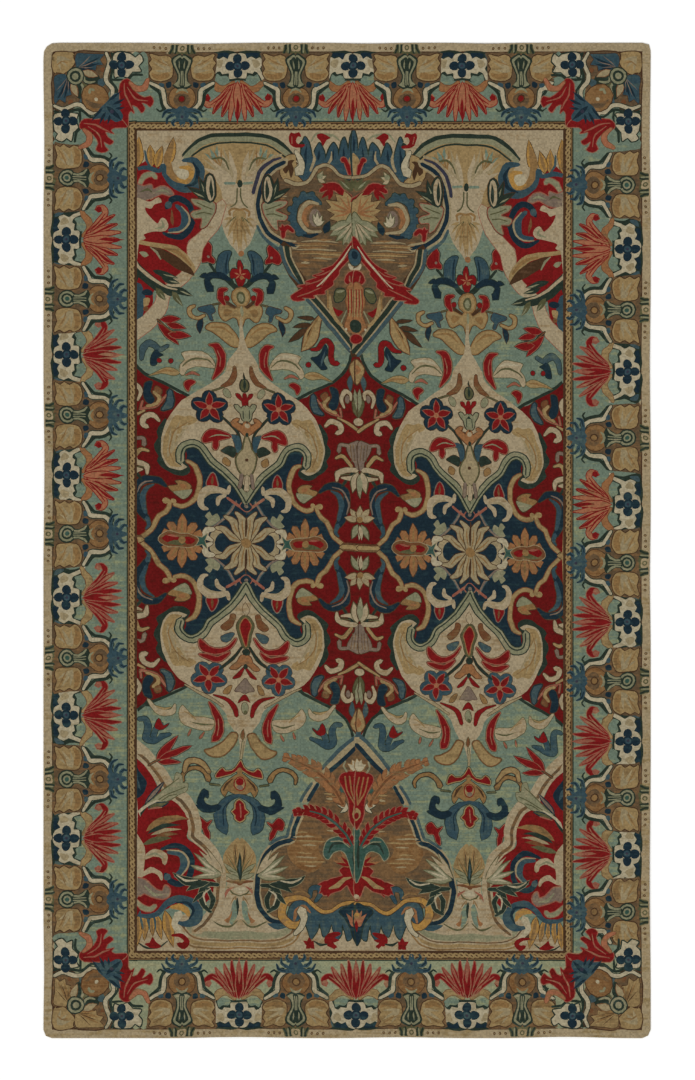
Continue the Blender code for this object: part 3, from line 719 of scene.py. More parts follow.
def pendant_ornament():
    """Leaf scrolls, crescents, feathers and the sand and sage acanthus inside the top cartouche."""
    shapes = rubbed(23.4, 88.4, 8.4, 3.4, 11) + rubbed(19, 84.4, 2.6, 1.2, 3) + rubbed(12, 104, 3, 1, 3)
    shapes += rimmed("rose", 0.3, line("madder", (0.9, 2, 2, 1.8, 1.6), (24.2, 105.8), (26.6, 107.2),
                                       (29, 106.9), (31, 104.6), (34.3, 103)))
    shapes += fan("madder", 1.3, 27.6, 106.6, (24.4, 103.6), (26.4, 102.8), (24, 108))
    shapes += fan("moss", 1.6, 33.6, 105.8, (28.8, 109.4), (31, 110), (33.4, 109.4))
    shapes += leaf("sage", 32.8, 106.4, 30, 109, 0.6)
    shapes += rimmed("umber", 0.25, fan("sand", 3.2, 34, 99, (25.6, 103.2), (25.9, 100.4), (26.5, 97.6),
                                        (28.4, 105.2), (31, 105.8), (28.2, 95.8))
                     + area("sand", (34.3, 103.2), (30.6, 102.6), (30, 98), (34.3, 98)))
    shapes += fan("orange", 0.7, 33, 99.6, (27, 102.6), (27.2, 100.2), (27.8, 98), (29.4, 104.4),
                  (31.8, 104.6))
    shapes += rimmed("moss", 0.3, fan("sage", 2.4, 34, 97, (26.2, 94.4), (26.8, 92.6), (28.6, 91.2),
                                      (30.6, 90), (32.6, 88.6))
                     + area("sage", (34.3, 99.4), (31.4, 96.8), (31, 93), (33, 89), (34.3, 87.8)))
    shapes += fan("ivory", 0.8, 33.6, 96.4, (27.4, 94), (29.2, 92), (31.2, 90.8), (33.2, 89.6))
    shapes += fan("moss", 0.35, 34, 97.4, (28, 93.2), (30.2, 91.4), (32.2, 90))
    shapes += rimmed("bottle", 0.2, leaf("navy", 25.2, 93.2, 26.6, 97, 1.9))
    shapes += rimmed("moss", 0.25, fan("ivory", 1.2, 23.4, 109, (24.8, 111.6), (25.9, 110.2),
                                       (25.4, 108.2)) + spot("sage", 24, 110, 0.9))
    ring = line("indigo", (1, 1.9, 2, 1.7, 1.9, 2.1, 1.5), (24, 102.2), (21.8, 103.9), (19.3, 103.9),
                (17, 102.2), (16, 99), (16.2, 96), (17.6, 94), (19.4, 93))
    for x, y in ((21.6, 104.6), (19, 104.7), (16.6, 103), (15.2, 100.4), (15, 97.6), (15.6, 95),
                 (17.4, 93.2)):
        ring += spot("indigo", x, y, 0.9)
    shapes += rimmed("bottle", 0.25, ring)
    shapes += line("buff", (0.7, 1.3, 1.2, 1.1, 0.7), (23.4, 102), (20.4, 102.2), (18.4, 100.2),
                   (17.9, 97.6), (18.8, 95.2), (20.6, 93.9), (24.2, 93.8))
    shapes += line("orange", (0.5, 1.4, 1.5, 0.9), (21.6, 101.2), (19.8, 100.2), (19.2, 97.6), (20.2, 95.4))
    shapes += rimmed("taupe", 0.2, spot("lilac", 22.4, 97.9, 1.8, 2.6))
    shapes += rimmed("moss", 0.25, fan("linen", 1, 23, 95.6, (21.8, 99), (23, 99.8), (24.4, 98.6),
                                       (25, 97)))
    shapes += line("navy", (0.7, 1.2, 0.7), (19, 92.7), (21, 92.4), (23.2, 93.2))
    shapes += rimmed("rose", 0.3, line("madder", (1, 1.3, 1.2, 0.9), (12.8, 92), (12.9, 93.9), (14.3, 94.8),
                                       (15.6, 93.6)) + fan("madder", 1, 13, 94, (11.6, 95), (12.6, 95.8)))
    shapes += feather(((34.3, 92.6), (30.7, 87.8), (27.4, 84), (24, 82.7), (25, 82.2), (21.4, 80.8),
                       (22.8, 80.4), (19.4, 79), (20.6, 78.6), (17, 77.4), (18.6, 77), (15, 74.6),
                       (15.6, 73.3), (19, 73.5), (18.4, 74.2), (22, 74.2), (21.8, 75), (25, 75.4),
                       (25, 76.4), (27.4, 78), (27.4, 79.2), (29.4, 81.4), (29.4, 82.4), (31.2, 84.6),
                       (34.3, 89.4)), ((32, 87.2, 27.8, 82.4, 24, 78), (25.6, 80.4, 22.4, 79, 19.4, 78),
                                       (24, 77.4, 20.4, 75.8, 16.8, 74.4), (27, 82.6, 25, 81.4, 22.4, 81)))
    shapes += line("linen", (0.3, 0.6, 0.3), (33, 89.6), (29.4, 84.6), (25.8, 80.4), (22.6, 77.6))
    shapes += rimmed("bottle", 0.2, spot("indigo", 34, 86.4, 1.9, 2.4)) + spot("navy", 34, 87, 1, 1.3)
    return shapes + line("linen", (0.6, 1.1, 0.5), (32.2, 84.4), (33, 83.2), (34.3, 83))


def pendant_palmette():
    """The striped palmette that hangs in the top cartouche, with the leaves beside it."""
    shapes = rimmed("rose", 0.3, area("madder", (34.3, 82.4), (32.2, 82), (31, 79.6), (32.4, 78.3),
                                      (34.3, 78.4)))
    shapes += line("rose", 0.4, (32.4, 81), (32.6, 79.4), (34, 78.8))
    shapes += rimmed("rust", 0.25, area("orange", (34.3, 78.2), (31.7, 77.6), (31.2, 73.4), (32, 69.4),
                                        (30.6, 66), (32.4, 64.6), (34.3, 63.6)))
    for x in (31.9, 32.8, 33.7):
        shapes += line("madder", 0.3, (x, 77), (x + 0.2, 70))
        shapes += line("sand", 0.35, (x + 0.4, 76.6), (x + 0.5, 69))
    shapes += rimmed("bottle", 0.3, area("moss", (27.7, 74.6), (28.5, 76.8), (30.6, 77.2), (31, 75.6),
                                         (30, 73.6), (28.4, 73.2)))
    shapes += leaf("sage", 28.2, 76, 31, 76.8, 0.8)
    shapes += area("madder", (27.3, 72), (28, 70), (29, 68.9), (30.4, 70.3), (28.7, 71))
    shapes += line("ochre", 0.5, (25.9, 76.4), (26, 71.4)) + line("sage", 0.4, (31.4, 70.6), (29.4, 66.4))
    shapes += area("sand", (26.4, 75.6), (27.4, 72), (28.4, 68.6), (30.2, 66.2), (28.6, 66.6), (26.4, 70.4))
    return (shapes + spot("bottle", 34, 66.2, 1.9, 2)
            + rimmed("rose", 0.3, spot("madder", 34, 62.4, 1.7, 1.4)) + spot("linen", 31, 65.2, 0.4))


def feather(outline, veins):
    """A madder feather with rose veins."""
    shapes = rimmed("rose", 0.25, area("madder", *outline))
    for x0, y0, x1, y1, x2, y2 in veins:
        shapes += line("rose", (0.2, 0.4, 0.2), (x0, y0), (x1, y1), (x2, y2))
    return shapes


def blossom_curl():
    """A madder blossom curled into a C, on the ivory strip at an end of the field."""
    return (area("madder", (14.7, 121.6), (15.3, 123), (16.4, 122.7), (17.8, 123.1), (18.5, 121.6),
                 (17.5, 121.8), (16.9, 120.6), (17.6, 119.5), (19.4, 119.3), (19, 118.5), (17, 118.5),
                 (15.3, 119.4))
            + line("rose", 0.3, (15.6, 121.8), (15.8, 119.8)))


def blossom():
    """A small madder tulip on a stem, on the ivory strip at an end of the field."""
    stem = line("sage", (0.4, 0.8, 0.4), (21.4, 120.4), (22.6, 122), (24.4, 122.5), (28, 122.2),
                (30, 120.6))
    return (stem
            + area("madder", (23.4, 122.3), (25, 122.7), (27.3, 121.5), (26.1, 120.9), (25, 119),
                   (24.2, 120.4), (23.2, 121.2)))


def upper_corner():
    """The madder corner compartment at the top, left of its unit's axis, and the ivory band round it."""
    shapes = area("madder", (-31, 114), (-31, 114), (-24, 112), (-20, 108), (-14, 105), (-11, 102),
                  (-9, 98), (-8, 95), (-11, 91.5), (-15, 90), (-14, 84), (-16, 80), (-21, 76), (-25, 75),
                  (-26, 70), (-31, 65), (-31, 65))
    shapes += line("rose", (3, 3.4, 4, 5, 4.6, 3.6, 3.8, 4, 4.4, 5, 5.4), (-5.2, 101.5), (-6.8, 96),
                   (-10.4, 91.6), (-13, 88.4), (-13.4, 84.8), (-15.4, 80.4), (-18.6, 77.4), (-22, 74.2),
                   (-23.2, 70.6), (-26, 66.4), (-31.4, 62.2))
    shapes += line("ivory", (2.6, 3, 3.6, 4.6, 4.2, 3.2, 3.4, 3.6, 4, 4.6, 5), (-5.2, 101.5), (-6.8, 96),
                   (-10.4, 91.6), (-13, 88.4), (-13.4, 84.8), (-15.4, 80.4), (-18.6, 77.4), (-22, 74.2),
                   (-23.2, 70.6), (-26, 66.4), (-31.4, 62.2))
    shapes += rimmed("rose", 0.25, line("sage", (1, 1.6, 1.4, 1), (-29.2, 106.6), (-28, 108.9),
                                        (-25.6, 110), (-24.4, 109)))
    shapes += rimmed("rose", 0.35, area("lilac", (-31, 106.8), (-28, 106.2), (-25.8, 106.8), (-25.2, 105.4),
                                        (-23, 106.4), (-20.8, 105.8), (-19.3, 104), (-20.6, 103.4),
                                        (-22.6, 104.2), (-25, 103), (-27.6, 102.3), (-31, 102.2)))
    shapes += line("moss", (0.3, 0.8, 0.3), (-29, 104.6), (-27, 105.4), (-25.6, 104.6))
    shapes += line("sage", (0.3, 0.8, 0.3), (-24.4, 104.6), (-22.4, 105.2), (-20.6, 104.4))
    shapes += area("ivory", (-31, 101.9), (-26.4, 101.8), (-23.8, 103), (-22.9, 101.4), (-25, 100.8),
                   (-25.8, 99.6), (-27.6, 100), (-26.6, 97.6), (-24, 95.2), (-22.8, 96.8), (-21.4, 96.4),
                   (-20.7, 94.6), (-21.8, 93.1), (-25, 92.7), (-28, 91.8), (-27.6, 90.4), (-31, 90))
    shapes += line("sage", (0.3, 0.9, 0.3), (-22.6, 96), (-22.2, 94.4), (-24.6, 93.6))
    shapes += crescent_scroll() + leaf("rust", -19.4, 94.6, -20, 99.6, 1)
    shapes += area("sand", (-31, 90), (-24, 89.4), (-18.4, 88.3), (-15.2, 85.8), (-12.9, 82), (-14, 80.4),
                   (-17, 84), (-20, 86.6), (-25, 88.2), (-31, 89))
    shapes += line("ochre", (0.5, 1.2, 0.6), (-22, 87.8), (-17.6, 86.4), (-14.2, 82.8))
    shapes += area("umber", (-25.6, 88.2), (-21.4, 87), (-17.4, 84.8), (-14.2, 81.9), (-13.2, 79.6),
                   (-16.4, 80.9), (-20, 82.8), (-23.6, 85.4))
    shapes += line("sage", (0.3, 0.7, 0.4), (-26, 88.2), (-24.2, 86.6), (-23, 84.4))
    shapes += area("sage", (-29.4, 86.4), (-27.6, 86.6), (-26.6, 85.6), (-28, 85))
    shapes += line("bottle", 3, (-31.4, 83), (-27, 78.6), (-23.2, 76), (-19.6, 74.8))
    for x0, y0, x1, y1, width, yarn in ((-25.6, 80.9, -18, 78.9, 2, "bottle"),
                                        (-23, 79, -17.4, 77.2, 1.9, "bottle"),
                                        (-20.4, 75.8, -13.6, 73.8, 2.3, "bottle"),
                                        (-19.8, 75, -16.7, 70.4, 1.9, "moss"),
                                        (-24.4, 76, -21.7, 72, 2, "moss")):
        shapes += leaf(yarn, x0, y0, x1, y1, width)
        shapes += leaf("sage", x0 + 0.4 * (x1 - x0), y0 + 0.4 * (y1 - y0), x1, y1, 0.5)
    shapes += line("ivory", (1, 0.9, 0.7, 0.4), (-31.4, 83.8), (-26.6, 79.4), (-22.6, 76.8), (-18.4, 75.4))
    shapes += line("indigo", (2.6, 2.6, 2.8), (-30, 76.4), (-28.8, 72), (-29.6, 67.6))
    shapes += spot("navy", -27, 74.3, 1.7, 1)
    shapes += area("sand", (-28.2, 72.4), (-26.4, 72.6), (-26.8, 70.6), (-28, 70))
    shapes += spot("rust", -27.4, 69.6, 0.8)
    return shapes + upper_scroll()


def crescent_scroll(lift=1, y=0.0):
    """A navy and indigo crescent with an ivory line, curled about the madder ground."""
    shapes = line("navy", (1.2, 1.9, 1.9, 1.7, 1.6, 1.8, 1.9, 1.4, 0.8), (-21.4, 99.9), (-19.8, 102.2),
                  (-17.4, 102.9), (-14.7, 101), (-13.7, 97.4), (-14.6, 93.6), (-17.2, 91.3), (-20, 91.4),
                  (-22.4, 92.5))
    shapes += line("indigo", (1.2, 2, 2.2, 1.6, 1), (-18.4, 100.6), (-16.4, 98.8), (-16, 96), (-17.2, 93.8),
                   (-20.6, 93.2))
    shapes += line("buff", (0.3, 0.6, 0.6, 0.3), (-17, 100.6), (-14.9, 98), (-15, 95), (-17, 92.9),
                   (-21, 92.5))
    shapes += spot("slate", -20.8, 100.8, 1.1)
    return placed(shapes, y=y, lift=lift)


def upper_scroll():
    """The indigo scroll line over the corner, its ochre spiral with an ivory bulb, and ochre flames."""
    shapes = []
    for x0, y0, x1, y1, width in ((-29.8, 112, -29.4, 121.4, 3), (-25.8, 112, -26, 118.8, 2.6),
                                  (-24.4, 111.8, -22.6, 118.4, 2.6), (-20.4, 113, -19.3, 121.2, 2.6)):
        shapes += rimmed("umber", 0.2, leaf("gold", x0, y0, x1, y1, width))
        shapes += leaf("ochre", x0, y0, x1, y1, width * 0.4)
    shapes += line("slate", (0.5, 0.8, 0.5), (-27.6, 117), (-27.2, 114), (-26, 112))
    shapes += line("ochre", (1, 2.2, 2.5, 2, 1.3), (-19.6, 119), (-21, 115), (-20.6, 111), (-18.6, 108.2),
                   (-15.6, 107.4))
    shapes += line("indigo", (1, 1.4, 1.2, 1.6, 1.3, 1.8, 2.6, 3.2, 3, 2.2, 1), (-31, 111.2), (-27, 111.8),
                   (-23.6, 110.9), (-22.3, 112.6), (-22, 110), (-19.8, 107.2), (-16, 105.8), (-12.6, 107.4),
                   (-11.4, 111), (-13, 114), (-16.4, 114.2))
    shapes += line("navy", (0.5, 1.2, 1, 0.5), (-13.4, 113.4), (-12, 111), (-12.8, 107.8), (-16, 106.4))
    shapes += line("gold", (0.8, 1.3, 1.5, 1.4, 0.8), (-18.2, 108.6), (-15.8, 107.7), (-14, 109.6),
                   (-14.6, 111.8), (-17.2, 112))
    return shapes + spot("linen", -16.6, 110, 1.9, 1.6)


def lower_corner():
    """The madder corner compartment at the bottom, left of its unit's axis, in other leaves."""
    shapes = area("madder", (-31, -65), (-31, -65), (-26, -70), (-22, -77), (-17, -79), (-14.6, -84),
                  (-14.8, -90), (-9, -93.6), (-7, -99), (-7.4, -106), (-11, -110), (-16, -110), (-22, -112),
                  (-25, -114), (-31, -113), (-31, -113))
    path = ((-31.4, -61.6), (-26.2, -66.4), (-22.8, -71), (-20, -75.4), (-16.4, -78), (-14, -81.4),
            (-13, -85.4), (-12.8, -89), (-9.8, -91.6), (-7.2, -95), (-5.8, -100), (-5.7, -105),
            (-6.6, -110), (-8.8, -114.4), (-12.4, -117.6))
    shapes += line("ivory", (4.4, 4.2, 4, 3.4, 3.4, 3.6), *path)
    shapes += line("taupe", (0.9, 1, 0.9), *[(x - 0.5, y - 0.5) for x, y in path])
    shapes += area("navy", (-31, -68), (-29, -70), (-27.8, -71.4), (-26.6, -73.6), (-27.8, -76.6),
                   (-31, -78))
    shapes += leaf("slate", -31, -71, -28.4, -75.4, 1.4)
    shapes += line("bottle", (1.6, 1.3, 0.7), (-31.4, -87), (-28, -81.8), (-25.4, -77.6))
    shapes += rimmed("moss", 0.2, area("sage", (-26.8, -80), (-23, -76.4), (-19.4, -73.4), (-18.2, -70.2),
                                       (-16.6, -70.8), (-16.5, -73), (-15, -73.2), (-15.4, -75.6),
                                       (-17.6, -76.6), (-20.6, -78.6)))
    for x0, y0, x1, y1 in ((-25, -78.4, -17.4, -71.6), (-23.6, -78.6, -15.8, -74.4),
                           (-22.4, -78.6, -18, -76.4)):
        shapes += line("moss", 0.3, (x0, y0), ((x0 + x1) / 2, (y0 + y1) / 2 + 0.4), (x1, y1))
    shapes += rimmed("navy", 0.35, leaf("lilac", -27.2, -79.6, -21.8, -73.2, 1))
    shapes += rimmed("navy", 0.35, leaf("moss", -26.4, -80.9, -20.4, -79, 1.2))
    shapes += line("linen", (1, 0.8, 0.4), (-31.4, -85.6), (-27.6, -81), (-23.4, -78.6))
    shapes += line("rose", (0.3, 0.7, 0.3), (-26.4, -81.4), (-22.6, -80.6))
    for x0, y0, x1, y1, width, bend, yarn in ((-27, -88, -14.6, -84, 2.6, 0.12, "ochre"),
                                              (-26.6, -88.8, -16.8, -86, 1.5, 0.1, "bottle"),
                                              (-25.6, -89.2, -16.6, -87.2, 1.2, 0.06, "buff"),
                                              (-24.6, -90, -17.6, -88.6, 1.6, 0.05, "rust"),
                                              (-28, -92, -19.4, -90, 1.9, 0.05, "moss")):
        shapes += leaf(yarn, x0, y0, x1, y1, width, bend)
    shapes += crescent_scroll(lift=-1, y=-1)
    shapes += area("ivory", (-31, -89), (-28.4, -90.6), (-27, -94), (-27.4, -98), (-28, -102),
                   (-31, -102.4))
    shapes += line("ivory", (1, 2.2, 2.2, 1.2), (-27.4, -96.4), (-24.6, -94.6), (-21.8, -95.4),
                   (-21.4, -97.6))
    shapes += line("ivory", (1, 1.7, 1.5, 0.8), (-28, -101.4), (-25.4, -99.8), (-23.2, -100.6),
                   (-22.4, -102.4))
    shapes += line("sage", (0.3, 0.7, 0.3), (-26.8, -95.6), (-24.4, -94.8), (-22, -96))
    shapes += rimmed("rose", 0.4, area("lilac", (-31, -102.6), (-27, -102.8), (-24, -105.6), (-22, -106.2),
                                       (-21.4, -104.4), (-20, -105.6), (-20.2, -107.4), (-22, -108.6),
                                       (-25.4, -107.6), (-27.4, -106.8), (-29, -107.4), (-31, -104.8)))
    shapes += line("sage", (0.4, 1, 0.4), (-27, -104.6), (-24.6, -107), (-22, -107.4))
    shapes += rimmed("rose", 0.25, line("sage", (0.6, 1.5, 1.5, 1), (-30.4, -108.4), (-27.8, -111),
                                        (-25.6, -111.8), (-24.3, -110.6)))
    return shapes + lower_scroll()


def lower_scroll():
    """The indigo scroll under the corner, with its gold spiral, ivory bulb and gold flames."""
    shapes = []
    for x0, y0, x1, y1, width in ((-28.8, -113.6, -29.4, -123, 2.6), (-27, -113.6, -27.2, -121, 2),
                                  (-25.2, -113.6, -24.8, -119.6, 1.8), (-23.6, -113.4, -22.4, -120.6, 2),
                                  (-21.4, -112, -19, -123, 2.9)):
        shapes += rimmed("umber", 0.2, leaf("gold", x0, y0, x1, y1, width))
        shapes += leaf("ochre", x0, y0, x1, y1, width * 0.4)
    for x in (-28.2, -26.2, -24.4):
        shapes += leaf("slate", x, -113.4, x + 0.6, -118.4, 0.8)
    shapes += line("indigo", (1.1, 1.3, 1.5, 1.7, 2.1, 2.7, 3.1, 3, 2.5, 1.5, 0.8), (-31, -112.2),
                   (-27.6, -113.7), (-24, -113.4), (-21.6, -110.6), (-18.6, -108.5), (-15.4, -108.7),
                   (-12.5, -110.8), (-12, -113.6), (-13.8, -115.6), (-16.2, -116), (-18.4, -115.2))
    shapes += line("navy", (0.4, 1, 0.9, 0.4), (-18, -109.4), (-14.8, -109.6), (-13.2, -112),
                   (-14.4, -114.6))
    shapes += line("gold", (0.9, 2, 2, 1), (-19.6, -110.9), (-17.4, -110.6), (-15.4, -111.8),
                   (-14.6, -113.6))
    return (shapes
            + line("linen", (2.6, 1.8, 1.6, 1.2), (-17.4, -113), (-18.6, -115.6), (-17.6, -118),
                   (-15.2, -120)))


def lower_base():
    """The fan, calyx and ivory bench at the foot of the lower unit."""
    half = area("ivory", (0, -125), (0, -125), (20, -125), (20, -125), (18, -114), (9, -113), (5, -108),
                (3.6, -103), (4.6, -96), (2.6, -91), (0, -90), (0, -90))
    half += area("sand", (0, -90.4), (2.4, -91), (4.6, -95), (4.4, -100), (2, -102), (0, -102.6))
    half += rimmed("ochre", 0.3, leaf("sand", 0.6, -100, 1.5, -91, 1))
    half += rimmed("ochre", 0.3, leaf("sand", 1, -101, 4, -93.6, 1.1))
    half += leaf("umber", 0.9, -97.6, 1.5, -91.4, 0.4)
    half += rimmed("moss", 0.2, leaf("sage", 0.2, -101.4, 4.7, -97.2, 1.5))
    half += rimmed("moss", 0.2, leaf("sage", 0.2, -102, 4.8, -100.2, 1.3))
    half += fan("moss", 0.3, 0.4, -100.4, (2, -93), (3.6, -95), (4.8, -98.6))
    half += fan("ochre", 0.4, 1, -107, (1.4, -111), (3, -110.4), (4.4, -106.4))
    half += line("rose", (0.2, 0.5, 0.2), (4.6, -103.6), (5.6, -108), (8, -113.4))
    half += line("rust", (0.6, 0.9, 0.3), (0, -103.4), (2, -102.8), (4.6, -102.6))
    half += line("moss", (0.3, 0.5, 0.3), (0, -107.2), (2, -106.5), (3.3, -104.6))
    half += line("rose", (0.3, 0.9, 0.4), (1.6, -104.4), (3.4, -105.6), (4.6, -108))
    half += area("sea green", (0.6, -109), (1.8, -109), (3, -113.6), (2.4, -116), (0.8, -113.4))
    half += area("orange", (2.2, -111.4), (3.2, -113.8), (4.4, -114.8), (3, -115.4))
    half += line("moss", (0.3, 0.7, 0.3), (0.7, -114.7), (2.6, -116.5), (5, -116.5), (8, -114.8))
    half += area("sage", (0, -118), (8, -118.3), (13.4, -117), (16, -115.6), (14.2, -118.6), (10.2, -120),
                 (0, -120.3))
    half += line("taupe", 0.45, (0, -120.7), (10, -120.7), (14, -119.2), (16.6, -116.4), (18.2, -113))
    half += line("ochre", 0.5, (0, -123), (11, -123), (15.4, -121.2), (18, -117.4))
    half += area("sand", (0, -121.4), (10, -121.4), (14.4, -120), (16.4, -118.4), (14.6, -121),
                 (10.6, -122.4), (0, -122.4))
    column = leaf("bottle", 0, -103, 0, -93.4, 1.5) + leaf("slate", 0, -101, 0, -95.4, 0.6)
    column += spot("rust", 0, -103.4, 0.9, 0.7)
    column += line("bottle", (0.4, 1, 0.6, 0.2), (-0.6, -108), (-0.6, -110.4), (-0.7, -113))
    column += spot("linen", 0, -105.4, 1.8, 1)
    return both(half) + column


def lower_blossoms():
    """The madder blossoms on the ivory strip at the lower end."""
    curl = line("madder", (0.7, 1.3, 1.6, 2, 1.3), (19.2, -119.4), (16.4, -119.6), (15, -121), (16, -122.4),
                (17.4, -122))
    tulip = area("madder", (22.4, -122.4), (23.4, -123.2), (25.6, -123), (27.2, -121.8), (25.8, -121.5),
                 (25, -119.8), (24, -121.2))
    stem = line("bottle", (0.3, 0.7, 0.4), (20.6, -121.2), (23, -122.8), (26.4, -123), (28.6, -121.8))
    return placed(curl + stem + tulip, flip=-1)


def basket_outlines():
    """The double outline of the brown cartouche at the bottom and the small navy shield under it."""
    shapes = line("buff", 2.2, (34.4, -58.2), (30, -62.6), (26.4, -66.8), (23.2, -71.2))
    shapes += line("slate", 1.1, (34.4, -56.2), (30, -60.4), (26.5, -64), (24, -67.4))
    shapes += line("navy", 1.3, (34.4, -59.8), (30, -64.4), (26.4, -68), (24.4, -70.6))
    shapes += line("buff", 2.2, (21.6, -72.4), (18.8, -77.4))
    shapes += line("navy", 1.1, (22.6, -72.4), (20, -77.4))
    shapes += line("slate", 0.9, (20.8, -72.2), (17.8, -77.6))
    edge = ((17.4, -82), (16, -86), (15, -89.5), (12.6, -90.2), (9.6, -92.2), (7.3, -95), (5.9, -99),
            (5.2, -102.4), (4.9, -106.4), (5.9, -110.6), (8.2, -113.8), (11, -115), (13, -114.6))
    return (shapes + line("buff", 2.4, *edge)
            + line("slate", 0.9, (15.8, -81.4), (14.5, -85.8), (13.7, -88.5), (11.8, -89.1), (8.8, -91.2))
            + line("navy", (1.1, 1.4, 1.5, 1.3), *edge)
            + area("indigo", (8, -115.4), (11, -117.4), (15, -116), (11, -115.4)))


def basket_ground():
    """The brown ground of the bottom cartouche, rubbed to a warm tan on one side."""
    shapes = area("taupe", (34.4, -59.6), (34.4, -59.6), (30, -64), (26.4, -68), (22.4, -74), (19, -80),
                  (17.4, -83), (16, -88), (12.6, -90.2), (9.6, -92.2), (7.3, -95), (5.9, -99), (5.2, -103),
                  (5.2, -107), (7, -112.6), (11, -115), (14, -110), (20, -107.6), (25, -111.6), (30, -109),
                  (34.4, -109.4), (34.4, -109.4))
    return (shapes
            + area("tawny", (15.6, -86.4), (20, -87.4), (24, -88.4), (22.8, -92), (24.4, -96),
                   (21.6, -99.4), (17.4, -98.4), (14.4, -95), (14, -90.6)))


def basket_foot():
    """The gold and indigo scrolls, the blue flames and the blossoms below the bottom cartouche."""
    flames = area("indigo", (14.4, -115.4), (14.2, -111), (16.4, -108.2), (19.6, -108.4), (22.4, -111.4),
                  (25, -112.6), (29, -110.4), (34.4, -109.8), (34.4, -118), (33, -117), (32.4, -119.8),
                  (31.2, -120.4), (30.4, -117.4), (29.8, -115.4), (29.4, -118.4), (28.2, -120.2),
                  (27.2, -117.8), (26.6, -115.6), (25.8, -118), (24.4, -119.4), (23.6, -117), (23, -115.2),
                  (22.4, -118), (20.8, -120), (19.8, -117), (18.6, -114.6), (16.8, -116.2))
    shapes = rimmed("bottle", 0.3, flames)
    for x0, y0, x1, y1 in ((20.4, -113, 20.8, -118.4), (24, -113.6, 24.4, -118), (27.6, -112.6, 28, -118.4),
                           (31, -113, 31.2, -118.8)):
        shapes += leaf("slate", x0, y0, x1, y1, 0.8)
    shapes += line("orange", (0.6, 1.5, 1.4, 0.5), (15.8, -114.6), (16.6, -111.4), (18.8, -110.4),
                   (20.4, -112))
    shapes += rimmed("umber", 0.2, line("gold", (1.3, 1.9, 2.3, 2.2, 1.8, 1.3, 1.1, 1.1, 1, 1, 1),
                                        (18.6, -113.4), (17.4, -115.6), (15, -116), (12.6, -113.6),
                                        (12.2, -110.6), (13.6, -108.2), (16.4, -107.4), (19.4, -107.9),
                                        (21.9, -110), (24.4, -111.7), (27, -111.2), (29.5, -109.4),
                                        (32, -108.7), (34.4, -109)))
    shapes += rimmed("bottle", 0.2, line("linen", (2.8, 1.8, 1.4, 1), (17.9, -111.4), (18.6, -114),
                                         (17.8, -116.8), (16, -118.6)))
    shapes += fan("madder", 1.5, 20.4, -122, (18.4, -120.6), (20.2, -119.4), (22, -120.6), (19, -123.2),
                  (21.6, -123.2))
    shapes += spot("madder", 20.4, -121.8, 1.2)
    shapes += line("madder", (1, 2.1, 2.1, 0.9), (28.8, -118.2), (26.4, -119.2), (25.6, -121), (28, -122.4))
    shapes += fan("madder", 1.3, 26.4, -120.4, (29, -120.4), (27.6, -123.2))
    shapes += line("bottle", (0.3, 0.9, 0.4), (21.6, -120.8), (23.4, -122), (25.4, -121.6))
    shapes += rimmed("bottle", 0.3, area("navy", (34.3, -109.6), (31.2, -110), (29.2, -111.6),
                                         (30.4, -113.2), (32, -115.8), (32.8, -119.4), (34.3, -121.6)))
    shapes += fan("salmon", 1.5, 34, -116, (31, -112), (32.6, -111), (34, -110.6), (32, -114.6))
    shapes += spot("gold", 34, -112.6, 0.9) + leaf("madder", 34, -114, 34, -118, 1)
    return shapes


